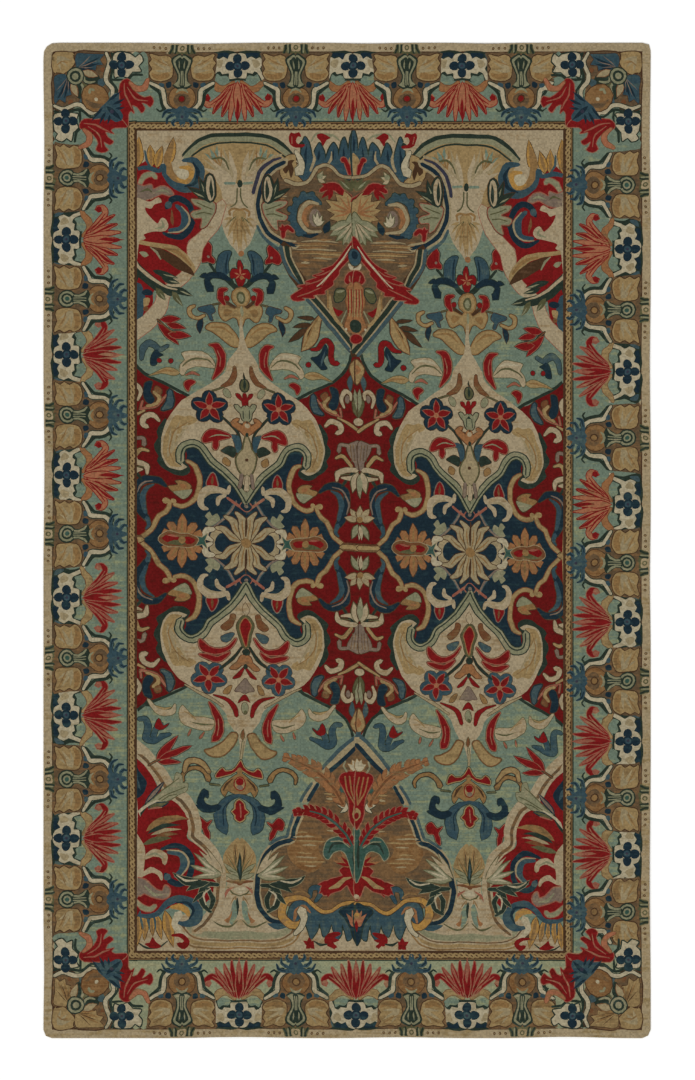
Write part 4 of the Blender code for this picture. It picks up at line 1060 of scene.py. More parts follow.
def basket_ornament():
    """Plumes, the carnation, the teal tulip and the madder iris inside the bottom cartouche."""
    shapes = rubbed(19.4, -89.6, 5, 2.6, 8) + rubbed(20, -95.6, 4.4, 2.8, 9)
    shapes += rubbed(26.6, -86.4, 3.4, 1, 3) + rubbed(26, -76, 2.4, 2, 5)
    shapes += rimmed("bottle", 0.2, line("indigo", (0.8, 1.5, 1.5, 0.9), (20.6, -107.2), (20.8, -104.8),
                                         (22.9, -104.4), (23.4, -106.2), (22.2, -108.4)))
    shapes += line("ochre", 0.5, (16, -105.8), (18.6, -105.4), (20.4, -107))
    iris = area("madder", (34.3, -98), (31.6, -97), (29, -98.6), (30, -100.4), (26.6, -101.4),
                (23.6, -104.4), (24.4, -106.4), (27, -105.6), (29.4, -104.8), (31.4, -103.4), (32.6, -106),
                (34.3, -107.6))
    shapes += rimmed("rose", 0.3, iris
                     + fan("madder", 1.4, 27, -102.6, (22.8, -103.2), (23, -106), (25.6, -107)))
    shapes += line("sand", (0.5, 1.5, 1.2, 0.5), (26, -104.4), (28.4, -103.4), (30.6, -101.4),
                   (32.4, -100.8))
    shapes += fan("orange", 1.2, 32.6, -97.6, (26.6, -95.6), (27.4, -93.8), (29.4, -92.8))
    shapes += fan("madder", 1, 32.4, -97, (28, -96.6), (29.4, -94.4)) + spot("ivory", 34, -106.8, 0.9, 0.8)
    tulip = area("teal", (34.3, -84), (33, -86.4), (32.8, -89.4), (30.4, -88.4), (27, -88.6), (25, -90.6),
                 (24.4, -93.8), (25.6, -95.4), (27.2, -93.4), (29.6, -92.6), (31.4, -94.4), (32.4, -98.6),
                 (34.3, -101.8))
    shapes += rimmed("sage", 0.25, tulip)
    shapes += line("bottle", (0.3, 0.9, 0.4), (26, -93.4), (27.4, -90.6), (31, -90.4))
    shapes += leaf("bottle", 33.4, -99, 33.4, -88, 0.9)
    shapes += line("sage", 0.35, (26.6, -89.8), (29.6, -89.8), (32, -91.6))
    shapes += rimmed("rose", 0.2, plume("madder", 1.3, 11, 3.4, (32.6, -90.6), (29.6, -86), (25, -82.2),
                                        (20, -80.4), (15.8, -81.4)))
    shapes += line("teal", (0.7, 0.8, 0.4), (33, -91.4), (29.6, -86), (25, -82.2), (20.4, -80.6))
    shapes += rimmed("rose", 0.3, area("madder", (34.3, -67.8), (32, -68.4), (29.6, -69), (29.2, -71.4),
                                       (31, -75), (31.8, -78.6), (32, -82.4), (33, -84.6), (34.3, -84.8)))
    for x in (30.7, 32, 33.3):
        shapes += line("orange", 0.45, (x, -69.8), (x + 0.6, -74), (33.7, -78.4))
    shapes += area("sand", (34.3, -79.4), (33, -80.2), (32.9, -82.2), (34.3, -83.4))
    shapes += spot("madder", 34, -81.8, 0.7, 1.1)
    shapes += rimmed("bottle", 0.2, fan("linen", 1.1, 31.6, -79.4, (28.4, -76), (28.2, -78.4),
                                        (29.4, -80.8)))
    shapes += rimmed("ochre", 0.25, fan("linen", 1.6, 34, -68, (31.2, -65.8), (32.6, -64.6), (34, -64.2)))
    shapes += line("sage", 0.5, (31, -68.4), (30, -66.6), (30.6, -65))
    shapes += leaf("teal", 30.6, -75.6, 28, -72, 1)
    return shapes


def lower_leaves():
    """The orange acanthus beside the bottom cartouche, tulips and loose leaves on the lower sea green."""
    both_sides = line("indigo", (0.8, 1.9, 2, 1.7, 1.2), (20, -58.4), (22.4, -59.2), (24.8, -60.6),
                      (26.8, -59.8), (26.2, -56), (27, -54), (28.8, -54.2))
    both_sides += line("indigo", (1.6, 1.6, 0.8), (24.8, -59.4), (24, -57), (22.4, -55.4))
    both_sides += area("madder", (20.4, -55.3), (22, -56), (23.2, -53.7), (24.4, -56.6), (23, -57.4),
                       (21.4, -56.7))
    outer = []
    for x0, y0, x1, y1, width in ((-24, -66, -18.2, -58.8, 1.9), (-23.4, -66, -14.2, -61.8, 1.9),
                                  (-23.6, -66.8, -17, -66.9, 1.6)):
        outer += rimmed("rose", 0.2, leaf("madder", x0, y0, x1, y1, width))
    outer += line("rust", 0.4, (-23.6, -66.2), (-26.4, -68))
    outer += rimmed("rust", 0.15, line("sand", (1, 1.5, 1.4, 0.8), (-15.8, -69.4), (-15.4, -67),
                                       (-13.4, -66), (-10.8, -67.2), (-8.8, -69.8)))
    return both_sides + placed(both_sides, flip=-1, x=-0.4) + outer


def orange_plume():
    """The orange plume that crosses the outline of the bottom cartouche."""
    rib = ((30, -78.4), (26.6, -72.4), (22.4, -68.6), (17.6, -66), (12.6, -64.4))
    return rimmed("rust", 0.2, plume("orange", 1.5, 10, 4, *rib)) + line("rust", (0.7, 0.6, 0.3), *rib)


def base_fans():
    """The sage and dark leaves that spread from the lower calyx over the compartments on each side."""
    half = rimmed("moss", 0.25, fan("sage", 1.7, 5.4, -101, (13.2, -94.4), (14.2, -98), (13.4, -101.6)))
    half += fan("linen", 0.7, 6.4, -100.6, (12, -95.6), (13, -98.4), (12.2, -101.2))
    half += rimmed("moss", 0.2, fan("ivory", 1.3, 5, -100.4, (9.4, -92.8), (11.6, -93.4)))
    half += rimmed("sage", 0.15, line("bottle", (1, 1.7, 1.6, 0.8), (6.2, -103.8), (9.4, -104),
                                      (11.2, -106.6), (10.4, -110.2), (8.2, -112))
                   + line("bottle", (0.8, 1.5, 1), (9.4, -105), (7.8, -108), (8.4, -111)))
    half += rimmed("sage", 0.15, leaf("bottle", 8.6, -103.4, 15.4, -105.8, 1.9, 0.08)
                   + leaf("bottle", 10.6, -102.6, 19.2, -100.4, 2.4, -0.16)
                   + leaf("bottle", 10.4, -106, 13.4, -109.6, 1.4))
    half += line("linen", (0.3, 0.7, 0.3), (12, -102.4), (15.4, -102.8), (18, -101.2))
    half += line("linen", (0.3, 0.6, 0.3), (8.4, -105.2), (10.4, -107), (9.8, -110))
    return both(half)


def upper_leaves():
    """Loose leaves, tulips and blossoms on the upper sea green."""
    shapes = rimmed("rust", 0.25, leaf("sand", 17.8, 58.4, 23.4, 69.4, 3.6, -0.05))
    for x0, y0, x1, y1, width in ((19.6, 65, 13.8, 60.6, 1.9), (21, 66.2, 15.2, 65.3, 1.5),
                                  (22, 67.8, 16.6, 68.4, 1.2), (19.4, 62, 21.6, 66.4, 0.8)):
        shapes += leaf("umber", x0, y0, x1, y1, width)
    shapes += line("ochre", 0.5, (18.4, 59.6), (20.6, 64), (22.8, 68.4))
    shapes += line("madder", (0.8, 1.6, 1.7, 1.6, 1.4), (20.6, 58.8), (22.5, 59.2), (24, 61), (25.5, 61.5),
                   (26.6, 60), (26.3, 57.5), (26.8, 55.2), (28.2, 55))
    shapes += area("navy", (20.4, 56.2), (22, 56.6), (23.4, 58), (24.8, 60.4), (25.3, 57.8), (24.2, 56),
                   (24.4, 54.5), (25.2, 53.4), (23.4, 52.9), (22.2, 54.4))
    shapes += spot("madder", 19.7, 54.3, 0.8) + leaf("slate", 23.4, 54, 24.6, 58.6, 0.7)
    for x0, y0, x1, y1, width in ((-23.2, 66.2, -17.6, 66.9, 1.9), (-21.4, 65.2, -16, 64, 1.6),
                                  (-23.8, 65, -18.2, 59, 2), (-21, 62.2, -14.6, 61.6, 2.2)):
        shapes += rimmed("rose", 0.2, leaf("madder", x0, y0, x1, y1, width))
    shapes += line("rust", 0.4, (-24, 66.2), (-21, 63.6), (-18.8, 62.8))
    shapes += line("slate", (1, 1.8, 1.9, 1.6, 1), (-28.8, 54.2), (-28.4, 57), (-27, 59), (-25, 58.6),
                   (-23.5, 57.5), (-21.4, 58.6))
    shapes += area("navy", (-26.2, 52.8), (-25.8, 55.6), (-24.4, 57.4), (-23.4, 56.4), (-22.4, 55.8),
                   (-24, 55), (-24.6, 53))
    return shapes + spot("madder", -23.7, 54.1, 0.7) + spot("madder", -20.4, 54, 0.7)


RUG_HALF_WIDTH = 91.5
RUG_HALF_LENGTH = 150.0
# The inner edges of the chain stripe, on the real rug.
STRIPE_LEFT, STRIPE_RIGHT, STRIPE_TOP, STRIPE_BOTTOM = -63.4, 65.3, 123.5, -123.7
STRIPE_WIDTH = 2.8
CHAIN_PITCH = 1.6
# Where the middles of the border's cartouches and palmettes are, along each side.
CARTOUCHES = {
    "left": (109.3, 72.8, 37.8, 2.0, -35.4, -71.9, -108.1),
    "right": (107.2, 69.5, 30.9, -6.8, -42.4, -77.6, -112.0),
    "top": (-49.7, -15.4, 18.1, 52.5),
    "bottom": (-49.8, -15.4, 19.4, 52.8),
}
PALMETTES = {
    "left": (90.7, 56.0, 19.7, -17.2, -52.6, -89.7),
    "right": (87.9, 50.9, 10.9, -24.6, -60.5, -94.5),
    "top": (-33.0, 1.8, 34.7),
    "bottom": (-32.5, 2.7, 36.2),
}


def on_side(shapes, side, at):
    """Shapes drawn below the origin, as if under the top edge, moved to a place along a side."""
    if side == "left":
        return placed(shapes, x=-RUG_HALF_WIDTH, y=at, turn=90)
    if side == "right":
        return placed(shapes, x=RUG_HALF_WIDTH, y=at, turn=-90)
    if side == "top":
        return placed(shapes, x=at, y=RUG_HALF_LENGTH)
    return placed(shapes, x=at, y=-RUG_HALF_LENGTH, turn=180)


def block(yarn, x0, y0, x1, y1):
    """A straight-sided patch."""
    return [(yarn, np.array([(x0, y0), (x1, y0), (x1, y1), (x0, y1)], dtype=float))]


def frame_of(yarn, reach, width):
    """A straight frame round the field: its outer edge is reach outside the stripe's inner edge."""
    x0, x1 = STRIPE_LEFT - reach, STRIPE_RIGHT + reach
    y0, y1 = STRIPE_BOTTOM - reach, STRIPE_TOP + reach
    shapes = block(yarn, x0, y0, x0 + width, y1) + block(yarn, x1 - width, y0, x1, y1)
    return shapes + block(yarn, x0, y0, x1, y0 + width) + block(yarn, x0, y1 - width, x1, y1)


def stripe():
    """The narrow stripe round the field: a twisted chain between dark lines."""
    shapes = frame_of("bottle", STRIPE_WIDTH + 0.25, STRIPE_WIDTH + 0.25)
    shapes += frame_of("ochre", STRIPE_WIDTH - 0.15, 2.3)
    shapes += frame_of("umber", 2.45, 2.45)
    middle = 1.38
    x0, x1 = STRIPE_LEFT - middle, STRIPE_RIGHT + middle
    y0, y1 = STRIPE_BOTTOM - middle, STRIPE_TOP + middle
    for step in range(1, int((y1 - y0) / CHAIN_PITCH) + 1):
        shapes += link(x0, y1 - step * CHAIN_PITCH, 114) + link(x1, y1 - step * CHAIN_PITCH, 66)
    for step in range(int((x1 - x0) / CHAIN_PITCH) + 1):
        shapes += link(x0 + step * CHAIN_PITCH, y0, -24) + link(x0 + step * CHAIN_PITCH, y1, 24)
    return shapes


def link(x, y, turn):
    """One link of the chain: a slanting sand loop with a dark eye."""
    return spot("sand", x, y, 1.08, 0.74, turn) + spot("umber", x, y, 0.5, 0.2, turn)


def border_ground():
    """The sea green ground between the chain stripe and the outer band."""
    w, h = RUG_HALF_WIDTH - 2.9, RUG_HALF_LENGTH - 2.9
    x0, x1 = STRIPE_LEFT - STRIPE_WIDTH, STRIPE_RIGHT + STRIPE_WIDTH
    y0, y1 = STRIPE_BOTTOM - STRIPE_WIDTH, STRIPE_TOP + STRIPE_WIDTH
    shapes = block("umber", -w - 0.4, -h - 0.4, -w, h + 0.4) + block("umber", w, -h - 0.4, w + 0.4, h + 0.4)
    shapes += block("umber", -w, -h - 0.4, w, -h) + block("umber", -w, h, w, h + 0.4)
    shapes += block("sea green", -w, -h, x0, h) + block("sea green", x1, -h, w, h)
    return shapes + block("willow", -w, -h, w, y0) + block("sea green", x0, y1, x1, h)


def cartouche(bell, dot):
    """A border cartouche: tan lobes about a green keyhole or bell, over a brown body with an ivory
    outline and a blue tassel."""
    half = area("taupe", (0, -2.9), (0, -2.9), (10, -2.9), (10.4, -4.6), (10.2, -8), (9.8, -12), (8, -13.2),
                (5.8, -14), (5.2, -16), (4.9, -18.6), (3, -20.6), (0, -20.9), (0, -20.9))
    half += line("bottle", (0.7, 1, 0.9, 0.9, 0.9), (9.6, -12.9), (7.7, -14.3), (6.7, -15.5), (6.5, -17.7),
                 (5.7, -19.6), (3.8, -21))
    half += line("bottle", (0.9, 0.6, 0.3), (5.2, -19.6), (6.6, -20.6), (7.7, -19.8))
    half += rimmed("bottle", 0.3, line("linen", (0.8, 1, 1.3, 1, 1.1, 0.9), (9.5, -12), (7.5, -13.2),
                                       (5.7, -14.2), (5.5, -16.6), (5.2, -18.4), (3.8, -19.9), (2, -20.5)))
    half += rimmed("umber", 0.3, area("sand", (9, -3.4), (6.8, -4), (4.8, -3.6), (3.1, -4.8), (2.9, -9.4),
                                      (4, -11), (6.4, -11.6), (8.8, -11), (9.9, -9.2), (9.1, -7.8),
                                      (10, -6.2), (9.2, -4.9), (9.9, -3.6)))
    half += area("ochre", (4, -10.4), (6.4, -11.2), (8.6, -10.5), (9.3, -9), (7, -9.6), (4.6, -8.8))
    half += fan("buff", 1, 3.4, -8.8, (8.6, -8.2), (8.8, -5.4), (6.2, -4.4))
    half += line("ochre", (0.2, 0.5, 0.2), (3.8, -7), (6.4, -5.8), (9, -4.2))
    half += area("indigo", (5.4, -12.4), (6.8, -12.1), (6.9, -13), (5.6, -13.5))
    half += area("navy", (3.4, -11.8), (4.9, -12.3), (4.4, -13.7), (3.2, -13.3))
    half += rimmed("umber", 0.25, area("tawny", (0, -13.6), (2.6, -14), (4, -16.4), (3, -19), (0, -20)))
    half += area("taupe", (0, -15.4), (2, -15.8), (2.6, -17.4), (1.4, -19.2), (0, -19.4))
    if bell:
        half += area("bottle", (0, -3.9), (2.4, -4.1), (3.3, -5.4), (2.6, -7.6), (1.6, -9.6), (2, -12),
                     (2.9, -13), (0, -13.4))
        half += area("sage", (0, -4.3), (2.1, -4.6), (2.7, -5.7), (2, -7.7), (1.2, -9.6), (1.5, -11.6),
                     (2.5, -12.7), (0, -12.6))
        half += area("bottle", (0, -4.9), (1.6, -5.1), (2, -6), (1.4, -7.8), (0.7, -9.6), (0.8, -12.8),
                     (0, -12.8))
        half += leaf("sage", 0.7, -8, 0.9, -5.2, 0.5) + line("sage", 0.35, (0.2, -8.6), (0.3, -12.6))
    else:
        half += spot("bottle", 0, -7.1, 2.8) + spot("sage", 0, -7.1, 2.35)
        half += area("bottle", (0, -8.6), (1.5, -9.2), (1.4, -10.6), (2.9, -13.4), (0, -13.8))
        half += spot("bottle", 0, -7.1, 1.75)
        half += line("sage", (0.5, 0.6, 0.7, 0.4), (1, -9.2), (0.9, -10.6), (1.6, -12.2), (2.6, -13))
        half += line("sage", 0.3, (0.3, -9), (0.4, -12.8)) + spot("sage", 0, -7.1, 1.2)
        half += spot("teal", 0, -7.1, 0.7)
    half += line("sage", (0.7, 0.7, 0.3), (0, -13.9), (1, -14.2), (1.7, -15)) + spot("umber", 0, -16.9, 1.3)
    half += spot(dot, 0, -16.9, 0.9)
    half += area("indigo", (0, -19.5), (1.6, -19.6), (2.4, -20.8), (2, -22.4), (1, -23.6), (0.6, -25),
                 (0, -25))
    half += leaf("navy", 1.3, -20, 1.4, -22.6, 0.7)
    for path in (((1.2, -20.4), (3.4, -20.2), (5.2, -20.8), (5.9, -22.3)),
                 ((1.2, -21.6), (3.1, -21.8), (4.4, -22.8), (4.4, -24.2)),
                 ((0.8, -22.9), (2.1, -23.4), (2.8, -24.3), (2.4, -25.2))):
        half += line("indigo", (1.2, 1.2, 1, 0.5), *path) + line("navy", (0.3, 0.4, 0.2), *path[1:])
    half += crossing()
    return both(half) + spot("slate", 0, -22, 0.8, 1.5) + spot("purple", 0, -22.4, 0.45)


def crossing():
    """Half of the green bar that crosses the outer band over a cartouche, and the beads beside it."""
    half = area("moss", (0, -0.4), (0, -0.4), (3.2, -0.4), (3.6, -1.6), (4.2, -3.1), (4.2, -3.1), (0, -3.3),
                (0, -3.3))
    half += line("bottle", 0.6, (2.9, -0.4), (2.9, -1.6), (3.6, -3))
    half += line("bottle", 0.5, (1.7, -0.4), (1.7, -2.4), (2, -3.2))
    half += line("sage", 0.4, (2.3, -0.4), (2.3, -2.8))
    half += area("band", (0, -0.5), (1.2, -0.6), (1.3, -2.4), (0, -2.6)) + spot("moss", 0, -1.5, 0.75, 0.85)
    half += spot("buff", 0, -1.5, 0.4, 0.45)
    for x in (4.9, 6.6, 8.3):
        half += spot("umber", x, -1.5, 0.42, 0.5) + spot("sand", x, -1.5, 0.2, 0.25)
    return half


def panel():
    """The ivory panel with a four-petalled navy flower, under the outer band between two cartouches."""
    half = area("bottle", (0, -2.9), (8.4, -3), (9.4, -5), (8.4, -8), (8.8, -11.9), (7, -11.9), (0, -11.4),
                (0, -11.4))
    half += area("slate", (6.8, -3.4), (8.6, -4), (8.6, -6.2), (7.6, -5.6))
    half += area("navy", (2.6, -3), (6.4, -3.2), (5.8, -4.6), (4.4, -3.9), (3.2, -4.9))
    half += area("sea green", (2.4, -11.2), (3.4, -9.8), (5, -10.1), (6.2, -9.4), (6.6, -12), (3.6, -12))
    half += area("linen", (0, -3.5), (2.2, -3.4), (3, -4.9), (4.2, -4.2), (5.6, -4.9), (6.8, -4.5),
                 (7.6, -6.2), (6.9, -7.6), (7.6, -9), (8.6, -12), (7.6, -11.9), (6.4, -9.2), (5.2, -8.6),
                 (4.6, -9.4), (2.8, -9), (2.6, -10.6), (0.8, -10.8), (0, -10))
    half += area("buff", (4.4, -5.2), (6, -5.2), (6.8, -6.6), (5.2, -7.6))
    half += line("linen", (0.6, 0.8, 0.6), (6.9, -9.6), (8, -11.6), (9.2, -12.3))
    return both(half) + placed(small_flower(), y=-6.9)


def palmette(flame, edge, base):
    """A flaming palmette: pointed flames on both sides of a middle one, the outermost curled over, on two
    hooks that reach for the cartouches beside it."""
    half = rimmed("rust", 0.2, line(base, (1, 1.7, 2, 1.5, 0.8), (1.2, -12), (3.4, -13.8), (5.8, -13.6),
                                    (7.2, -12.2), (9, -11.4)))
    for widths, path in (((1, 1.5, 1.5, 1.7), ((2.2, -13.4), (5.4, -16.6), (8, -18.6), (9.6, -17.8),
                                               (9.3, -16.3))),
                         ((1, 1.6, 1.4, 0.3), ((1.7, -13.2), (4.2, -16.6), (6, -19), (7.3, -21.2))),
                         ((0.9, 1.6, 1.5, 0.3), ((1.1, -12.8), (2.7, -16.8), (3.8, -19.6), (4.5, -22.2))),
                         ((0.8, 1.3, 1.2, 0.3), ((0.6, -12.6), (1.5, -17), (2, -20.4), (2.2, -23.2)))):
        half += rimmed(edge, 0.25, line(flame, widths, *path))
    half += spot(edge, 9.2, -16.6, 1, 0.9)
    half += line(edge, (0.2, 0.5, 0.2), (2.6, -14), (5.4, -16.8), (8, -18.6))
    half += line(edge, (0.2, 0.5, 0.9, 0.3), (2, -14), (4.4, -17), (6, -19.2), (7.2, -21.1))
    half += line(edge, (0.2, 0.4, 0.9, 0.3), (1.4, -14), (2.8, -17.4), (3.9, -19.8), (4.5, -22))
    return (both(half) + rimmed(edge, 0.3, leaf(flame, 0, -11.8, 0, -23.6, 2.1))
            + leaf(edge, 0, -16.4, 0, -24.6, 1.1))


def with_diagonal_image(arm):
    """Shapes of the upper left corner, then the same ones mirrored across its diagonal."""
    return arm + [(yarn, -outline[:, ::-1]) for yarn, outline in arm]


def corner(ground, petals, shade, veins):
    """The border's corner at the upper left: two feathered lobes and a keyhole on the diagonal, a brown
    body, a blue tassel and a madder acanthus wrapped about it."""
    shapes = block("taupe", 2.9, -2.9, 20.4, -17.6) + block(ground, 19.8, -11, 25, -23.5)
    shapes += block(ground, 9, -19.6, 25, -23.5)
    shapes += rimmed("umber", 0.3, area("sand", (3.1, -3.1), (8.6, -3.1), (9.5, -5.6), (8, -8), (5.6, -9.5),
                                        (3.1, -8.6)))
    shapes += fan("buff", 1, 4, -4, (8.4, -5.4), (7.4, -7.4), (5.4, -8.6))
    shapes += line("ochre", 0.4, (4.4, -6.6), (5.6, -5.6), (7.2, -6))
    arm = rimmed("umber", 0.4, area("taupe", (9.6, -3.1), (19, -3.1), (20.2, -5.4), (19.8, -8.6),
                                    (17.4, -11), (14, -10.8), (11.6, -9)))
    arm += rimmed("umber", 0.2, area(petals, (9.8, -7.6), (10, -3.4), (14, -3.3), (18.2, -3.5), (17, -5),
                                     (18, -6.6), (16, -6.8), (15.6, -8.4), (13.6, -7.6), (12, -8.8)))
    arm += fan(shade, 0.9, 10.6, -7.6, (17, -6.2), (15.4, -8), (17.2, -4.2))
    arm += fan(veins, 0.3, 10.4, -7.4, (16.6, -5.2), (14.6, -3.6), (15, -7.4))
    arm += spot("rust", 18, -8.2, 1, 0.8)
    arm += area("bottle", (11.2, -10.8), (13, -8.6), (16.6, -10), (17, -12.6), (14, -13.2))
    arm += rimmed("rust", 0.25, leaf("buff", 11.9, -8.4, 16.2, -10.2, 2))
    arm += line("sage", (0.5, 0.7, 0.8, 0.4), (11.6, -9), (12.4, -11.4), (14, -12.1), (15.6, -11.7))
    arm += area("slate", (16.4, -11.6), (17.8, -10.8), (18.6, -12.4), (17.4, -13.4))
    arm += line("bottle", (0.8, 0.9, 0.9, 0.8, 0.6), (20.5, -3.2), (21.4, -6), (20.3, -9.6), (20.5, -11.8),
                (22.3, -14.4), (22.1, -17))
    arm += rimmed("bottle", 0.25, line("linen", (0.8, 1.1, 1.2, 1.1, 1), (18.9, -3.2), (20, -6),
                                       (18.8, -9.2), (19, -11.6), (20.9, -14), (20.7, -16.8)))
    arm += rimmed("bottle", 0.4, area("linen", (21.4, -3.3), (26, -3.2), (27.6, -4.4), (29, -3.6),
                                      (29.8, -5.6), (28.6, -7), (29.4, -8.6), (27, -8.8), (25.4, -10.4),
                                      (23.4, -9.6), (21.6, -10.4), (21.4, -8.4)))
    arm += line("bottle", (0.7, 1, 0.7), (20.8, -11), (25, -11.2), (26.8, -9.8), (29.8, -9.6))
    arm += placed(small_flower(), x=23.6, y=-6.6)
    shapes += with_diagonal_image(arm)
    shapes += spot("bottle", 9.7, -10, 2.8) + spot("sage", 9.7, -10, 2.4) + spot("bottle", 9.7, -10, 1.7)
    shapes += spot("sage", 9.7, -10, 1)
    shapes += area("moss", (11.6, -12), (14, -13), (17, -12.6), (14.4, -16.4), (12.6, -16), (12.6, -13.6))
    shapes += rimmed("umber", 0.3, spot("tawny", 15.6, -16.6, 4.3, 3.9, -40))
    shapes += area("taupe", (12.4, -17), (15, -19.8), (18.4, -18.6), (15, -18))
    shapes += line("sage", 0.8, (13.8, -15.2), (14.2, -14.2), (15.2, -14.2)) + spot("linen", 15.9, -17, 0.6)
    arm = rimmed("rose", 0.25, area("madder", (24.4, -11), (23, -12.4), (22.9, -14.6), (23.2, -17),
                                    (21.6, -20), (21.8, -22), (25.2, -25.2), (25.4, -21.6), (26.4, -20.4),
                                    (27.3, -21.2), (26.8, -18.8), (28.4, -19.2), (29.6, -21), (30.6, -20),
                                    (29.6, -18), (31.2, -18.6), (32.2, -19.4), (33, -17.6), (32.2, -16),
                                    (30.4, -16.5), (27.8, -15), (26.6, -12.8), (25.8, -11.2)))
    arm += line("rose", (0.2, 0.5, 0.5, 0.2), (24.2, -12.2), (24.6, -15.6), (26, -18), (26.8, -20))
    arm += line("rose", (0.2, 0.5, 0.2), (25.2, -13.4), (27.6, -16.6), (31.4, -17.6))
    arm += rimmed("rust", 0.2, line("salmon", (0.8, 1.6, 1.6, 1), (26, -12), (28, -13.8), (30.4, -13.4),
                                    (31.6, -11)))
    shapes += with_diagonal_image(arm)
    shapes += area("indigo", (16, -22), (16.6, -20), (18, -18.6), (19.6, -17.2), (21.4, -15.4), (23, -15.2),
                   (22.8, -17), (23.8, -18.4), (22.8, -19.8), (23.8, -21.6), (23.4, -23.4), (21.6, -23.8),
                   (19.8, -22.8), (18.4, -23.8), (17, -22.8), (15.2, -23))
    arm = leaf("navy", 19.4, -17.8, 23.6, -14.6, 0.9) + leaf("navy", 20.8, -18.8, 24.8, -16.8, 0.9)
    arm += leaf("navy", 21.6, -20, 24.8, -19.4, 0.8)
    shapes += with_diagonal_image(arm)
    return shapes + leaf("navy", 18.8, -19, 23.6, -23.4, 1.5) + spot("purple", 20.6, -20.8, 0.6)


def small_flower():
    """A navy flower of four round petals about a lighter eye."""
    shapes = spot("navy", 0, 0, 1.6)
    for angle in (0, 90, 180, 270):
        shapes += placed(spot("navy", 2.15, 0, 1.65, 1.4), turn=angle)
    return shapes + spot("indigo", 0, 0, 1) + spot("purple", 0, 0, 0.45)


def border():
    """The whole border, from the chain stripe out to the band along the hem."""
    shapes = border_ground() + stripe()
    for side, places in PALMETTES.items():
        for number, at in enumerate(places):
            warm = side == "top" or (side in ("left", "right") and number in (0, 2))
            leaves = palmette("salmon", "madder", "orange") if warm else palmette("madder", "rose", "sand")
            shapes += on_side(panel() + leaves, side, at)
    for side, places in CARTOUCHES.items():
        for at in places:
            shapes += on_side(cartouche(side in ("top", "bottom"), "madder" if side == "top" else "ochre"),
                              side, at)
    for flip in (1, -1):
        for lift in (1, -1):
            if lift == 1:
                piece = corner("sea green", "indigo", "navy", "lilac")
            else:
                piece = corner("willow", "sand", "ochre", "umber")
            shapes += placed(piece, x=-RUG_HALF_WIDTH * flip, y=RUG_HALF_LENGTH * lift, flip=flip,
                             lift=lift)
    return shapes


def field():
    """The whole field: the large grounds, then each half's medallion, body, lily, column and corners, the
    two central cartouches, and last the leaves that lie over their outlines."""
    unit = arch() + hourglass()
    unit += rimmed("bottle", 0.25, lily()) + rimmed("umber", 0.2, saddle()) + medallion()
    unit += onion() + rimmed("umber", 0.15, onion_ornament()) + rimmed("moss", 0.2, neck_leaves())
    unit += placed(onion(), lift=-1) + rimmed("umber", 0.15, lower_onion_ornament())
    unit += rimmed("moss", 0.2, lower_neck())
    unit += rimmed("bottle", 0.2, lower_lily()) + lower_base()
    band = rimmed("umber", 0.25, madder_band() + madder_shoulder())
    band += placed(band, lift=-1)
    side = upper_corner() + lower_corner() + lower_blossoms() + blossom() + blossom_curl()
    side += rimmed("bottle", 0.2, upper_leaves() + lower_leaves())
    side += pendant_ground() + crown() + pendant_outlines() + pendant_ornament() + pendant_palmette()
    side += basket_ground() + basket_outlines() + basket_ornament() + basket_foot() + orange_plume()
    side += blossom_curl() + blossom()
    side += rimmed("umber", 0.2, side_leaves()) + base_fans()
    shapes = grounds()
    for side_of in (-1, 1):
        shapes += placed(unit + band + placed(band, flip=-1), x=side_of * UNIT_AXIS)
    for side_of in (-1, 1):
        shapes += placed(side, x=side_of * UNIT_AXIS, flip=-side_of)
    return shapes


def pattern():
    """The rug's whole chart in centimetres, from the lowest layer to the topmost."""
    return [(yarn, drifted(outline)) for yarn, outline in field()] + border()


# How the hand-worked field strays from its chart: for heights on the rug, where five upright lines of
# the chart really run.
DRIFT_HEIGHTS = (-124, -100, -70, -55, -35, 0, 35, 50, 72, 100, 124)
DRIFT_LINES = {
    -64: (-64.1, -63.9, -63.7, -63.6, -63.4, -63.3, -63.3, -63.3, -63.3, -63.3, -63.3),
    -34: (-32.3, -32.3, -32.4, -31.0, -30.6, -30.4, -30.1, -31.2, -32.1, -32.5, -32.6),
    0: (3.0, 2.8, 2.9, 3.4, 3.8, 4.0, 3.6, 3.0, 2.5, 2.2, 1.9),
    34: (37.0, 37.0, 36.8, 36.5, 36.6, 37.2, 36.9, 36.5, 36.2, 35.7, 35.7),
    64: (65.3, 65.3, 65.3, 65.3, 65.3, 65.3, 65.3, 65.3, 65.3, 65.3, 65.3),
}


def drifted(outline):
    """A charted outline of the field where it really lies: x between the five drift lines of its height,
    and y lowered by up to 2.2 cm in the middle and sloped by up to 4 cm in a hundred."""
    x, y = outline.T
    chart = np.array(list(DRIFT_LINES))
    real = np.array([np.interp(y, DRIFT_HEIGHTS, places) for places in DRIFT_LINES.values()])
    part = np.clip(np.searchsorted(chart, x) - 1, 0, len(chart) - 2)
    share = (x - chart[part]) / (chart[part + 1] - chart[part])
    point = np.arange(len(x))
    new_x = real[part, point] * (1 - share) + real[part + 1, point] * share
    fade = 1 - np.clip(np.abs(y) / 124, 0, 1) ** 2
    slope = (0.010 + 0.030 * fade) * np.clip((128 - np.abs(y)) / 10, 0, 1)
    return np.column_stack([new_x, y - 2.2 * fade - slope * x])


# How far inside the rug's edge its outlines stay, in centimetres.
FOLD_CLEARANCE = 0.4


